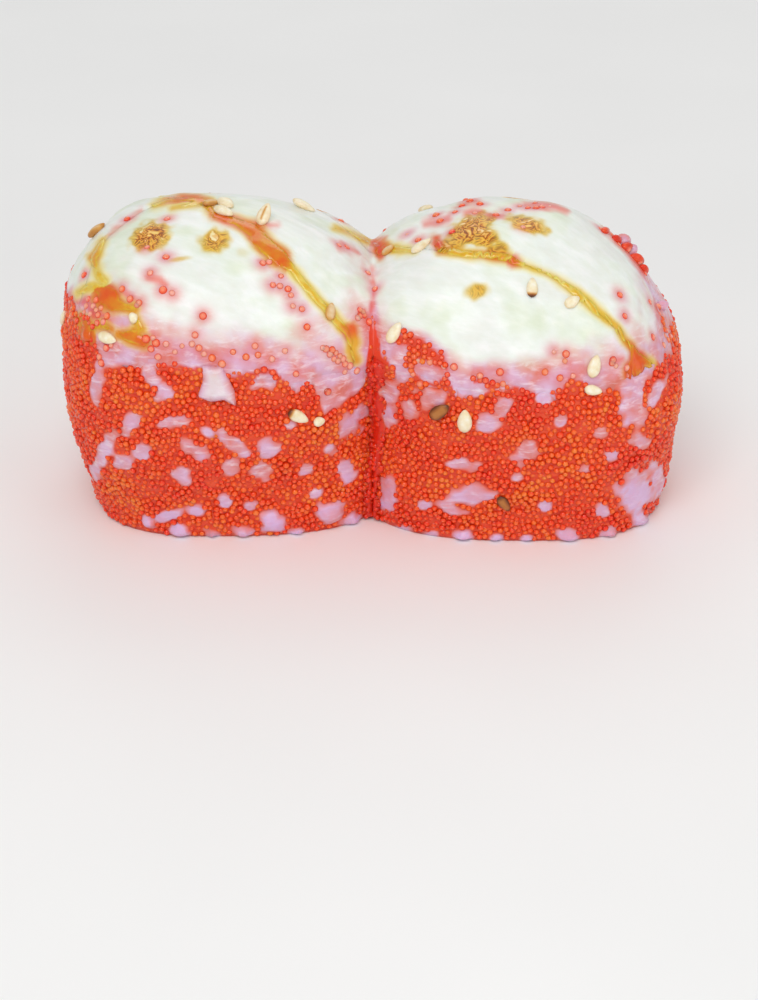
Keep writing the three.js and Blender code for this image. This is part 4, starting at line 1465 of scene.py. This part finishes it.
def seed_frame(sight, x, y, length, turn):
    """Where a seed lies and which way, so that it looks as long and as turned as in the photograph. One
    that would look too short lying flat leans up."""
    place, facing = sight.spot(x, y)
    c, s = cos_sin(turn)
    before, after = sight.spot(x - 3 * c, y + 3 * s)[0], sight.spot(x + 3 * c, y - 3 * s)[0]
    flat = unit((after - before) - facing * ((after - before) @ facing))
    mirror = mirror_at(x)
    upright = sight.turn @ np.array([c, s, 0]) * mirror
    for lean in np.linspace(0, 1, 21):
        along = unit(mix(flat, upright, lean))
        ends = sight.pixels(np.array([place - along / 2, place + along / 2]) * mirror)
        needed = length / np.linalg.norm(ends[1] - ends[0])
        if needed <= LONGEST_SEED:
            break
    normal = unit(facing - along * (along @ facing))
    return place, facing, np.stack([along, np.cross(normal, along), normal], 1), min(needed, LONGEST_SEED)


def make_seeds(sight):
    """The sesame seeds of the photograph, joined."""
    shape, faces = seed_shape()
    draw = np.random.default_rng(95)
    all_points, all_faces, all_toast = [], [], []
    for x, y, length, turn, kind in SEEDS:
        place, facing, frame, size = seed_frame(sight, x, y, length, turn)
        size = size / SEED[0]
        girth = max(size, 0.85) * draw.uniform(0.92, 1.08)
        rise = SEED_RISE * girth + LEANING_RISE * abs(frame[:, 0] @ facing) * SEED[0] * size
        all_points.append(shape @ (frame * (size, girth, girth)).T + place + facing * rise)
        all_faces.append(faces + sum(map(len, all_points[:-1])))
        # Browner along the seed's sides and ends: partly toasting, partly painted shade at its rim.
        rim_toast_and_painted_shade = smoothstep(0.3, 0.85, np.abs(shape[:, 1])) + smoothstep(0.9, 1.5, np.abs(shape[:, 0]))
        toast = TOASTED[kind] + (0.1 + 0.45 * TOASTED[kind]) * rim_toast_and_painted_shade
        if kind == "tipped":
            toast += 0.9 * smoothstep(-0.7, -1.5, shape[:, 0])
        if kind == "slit":
            toast += 0.5 * np.exp(-((shape[:, 1] / 0.12) ** 2)) * smoothstep(1.2, 0.8, np.abs(shape[:, 0]))
        all_toast.append(toast)
    fields = {"toast": np.concatenate(all_toast).clip(0, 1)}
    seeds = make_mesh("sesame_seeds", np.concatenate(all_points), np.concatenate(all_faces), SESAME, fields)
    finish_piece(seeds, "sesame")


# Soft square lamps that face the roll: place and size in metres, and power.
LAMPS = {
    "key": ((-0.1, -0.42, 0.5), 0.32, 1.55),
    "fill": ((0.4, -0.35, 0.25), 0.4, 0.4),
    "back": ((0.05, 0.5, 0.45), 0.4, 0.5),
}
ROOM_LIGHT = 0.56
FLOOR_SIDE = 900


def make_studio():
    """A pale floor and soft light all round, strongest from the front and above."""
    corners = np.array([(-1, -1, 0), (1, -1, 0), (1, 1, 0), (-1, 1, 0)], float) * FLOOR_SIDE
    floor = make_mesh("floor", corners, np.array([[0, 1, 2, 3]]), plain_floor())
    for name, (place, size, power) in LAMPS.items():
        data = bpy.data.lights.new(name, "AREA")
        data.size = size
        data.energy = power
        lamp = add_object(name, data)
        lamp.location = place
        lamp.rotation_euler = (Vector((0, 0, 0.02)) - Vector(place)).to_track_quat("-Z", "Y").to_euler()
    world = bpy.data.worlds.new("studio")
    world.use_nodes = True
    background = world.node_tree.nodes["Background"]
    background.inputs["Color"].default_value = linear("#FFFFFF")
    background.inputs["Strength"].default_value = ROOM_LIGHT
    bpy.context.scene.world = world
    bpy.context.scene.view_settings.view_transform = "Standard"


def build():
    sight = Sight(make_camera())
    parts = fish_parts()
    tops = [(raised(table, fish_relief(table)), triangles) for table, triangles, _ in parts.values()]
    sheets = [bed_sheet(piece) for piece in SLICES]
    beds = [(raised(table, ROE_RIM * (above_rim(table) < 0)), triangles) for table, triangles in sheets]
    sight.set_ground(*tops, *beds)
    sight.roe_edge = sight.edge(ROE_EDGE)
    sight.flesh_edge = sight.edge(FLESH_EDGE)
    cover = top_sheet(COVER_GRID, ROE_REACH)
    for piece, bed in zip(SLICES, sheets):
        make_rice(sight, piece, bed)
        make_roe(sight, piece, bed, cover)
    sight.set_ground(*tops, *beds, make_shoulder_rice(sight))
    found = [sight.spot(x, y) for x, y in LOOSE_EGGS]
    make_loose_roe(found)
    make_fish(sight, parts, [place for place, _ in found])
    make_glaze(sight, cover)
    make_flap(sight, cover)
    make_seeds(sight)
    make_studio()


build()
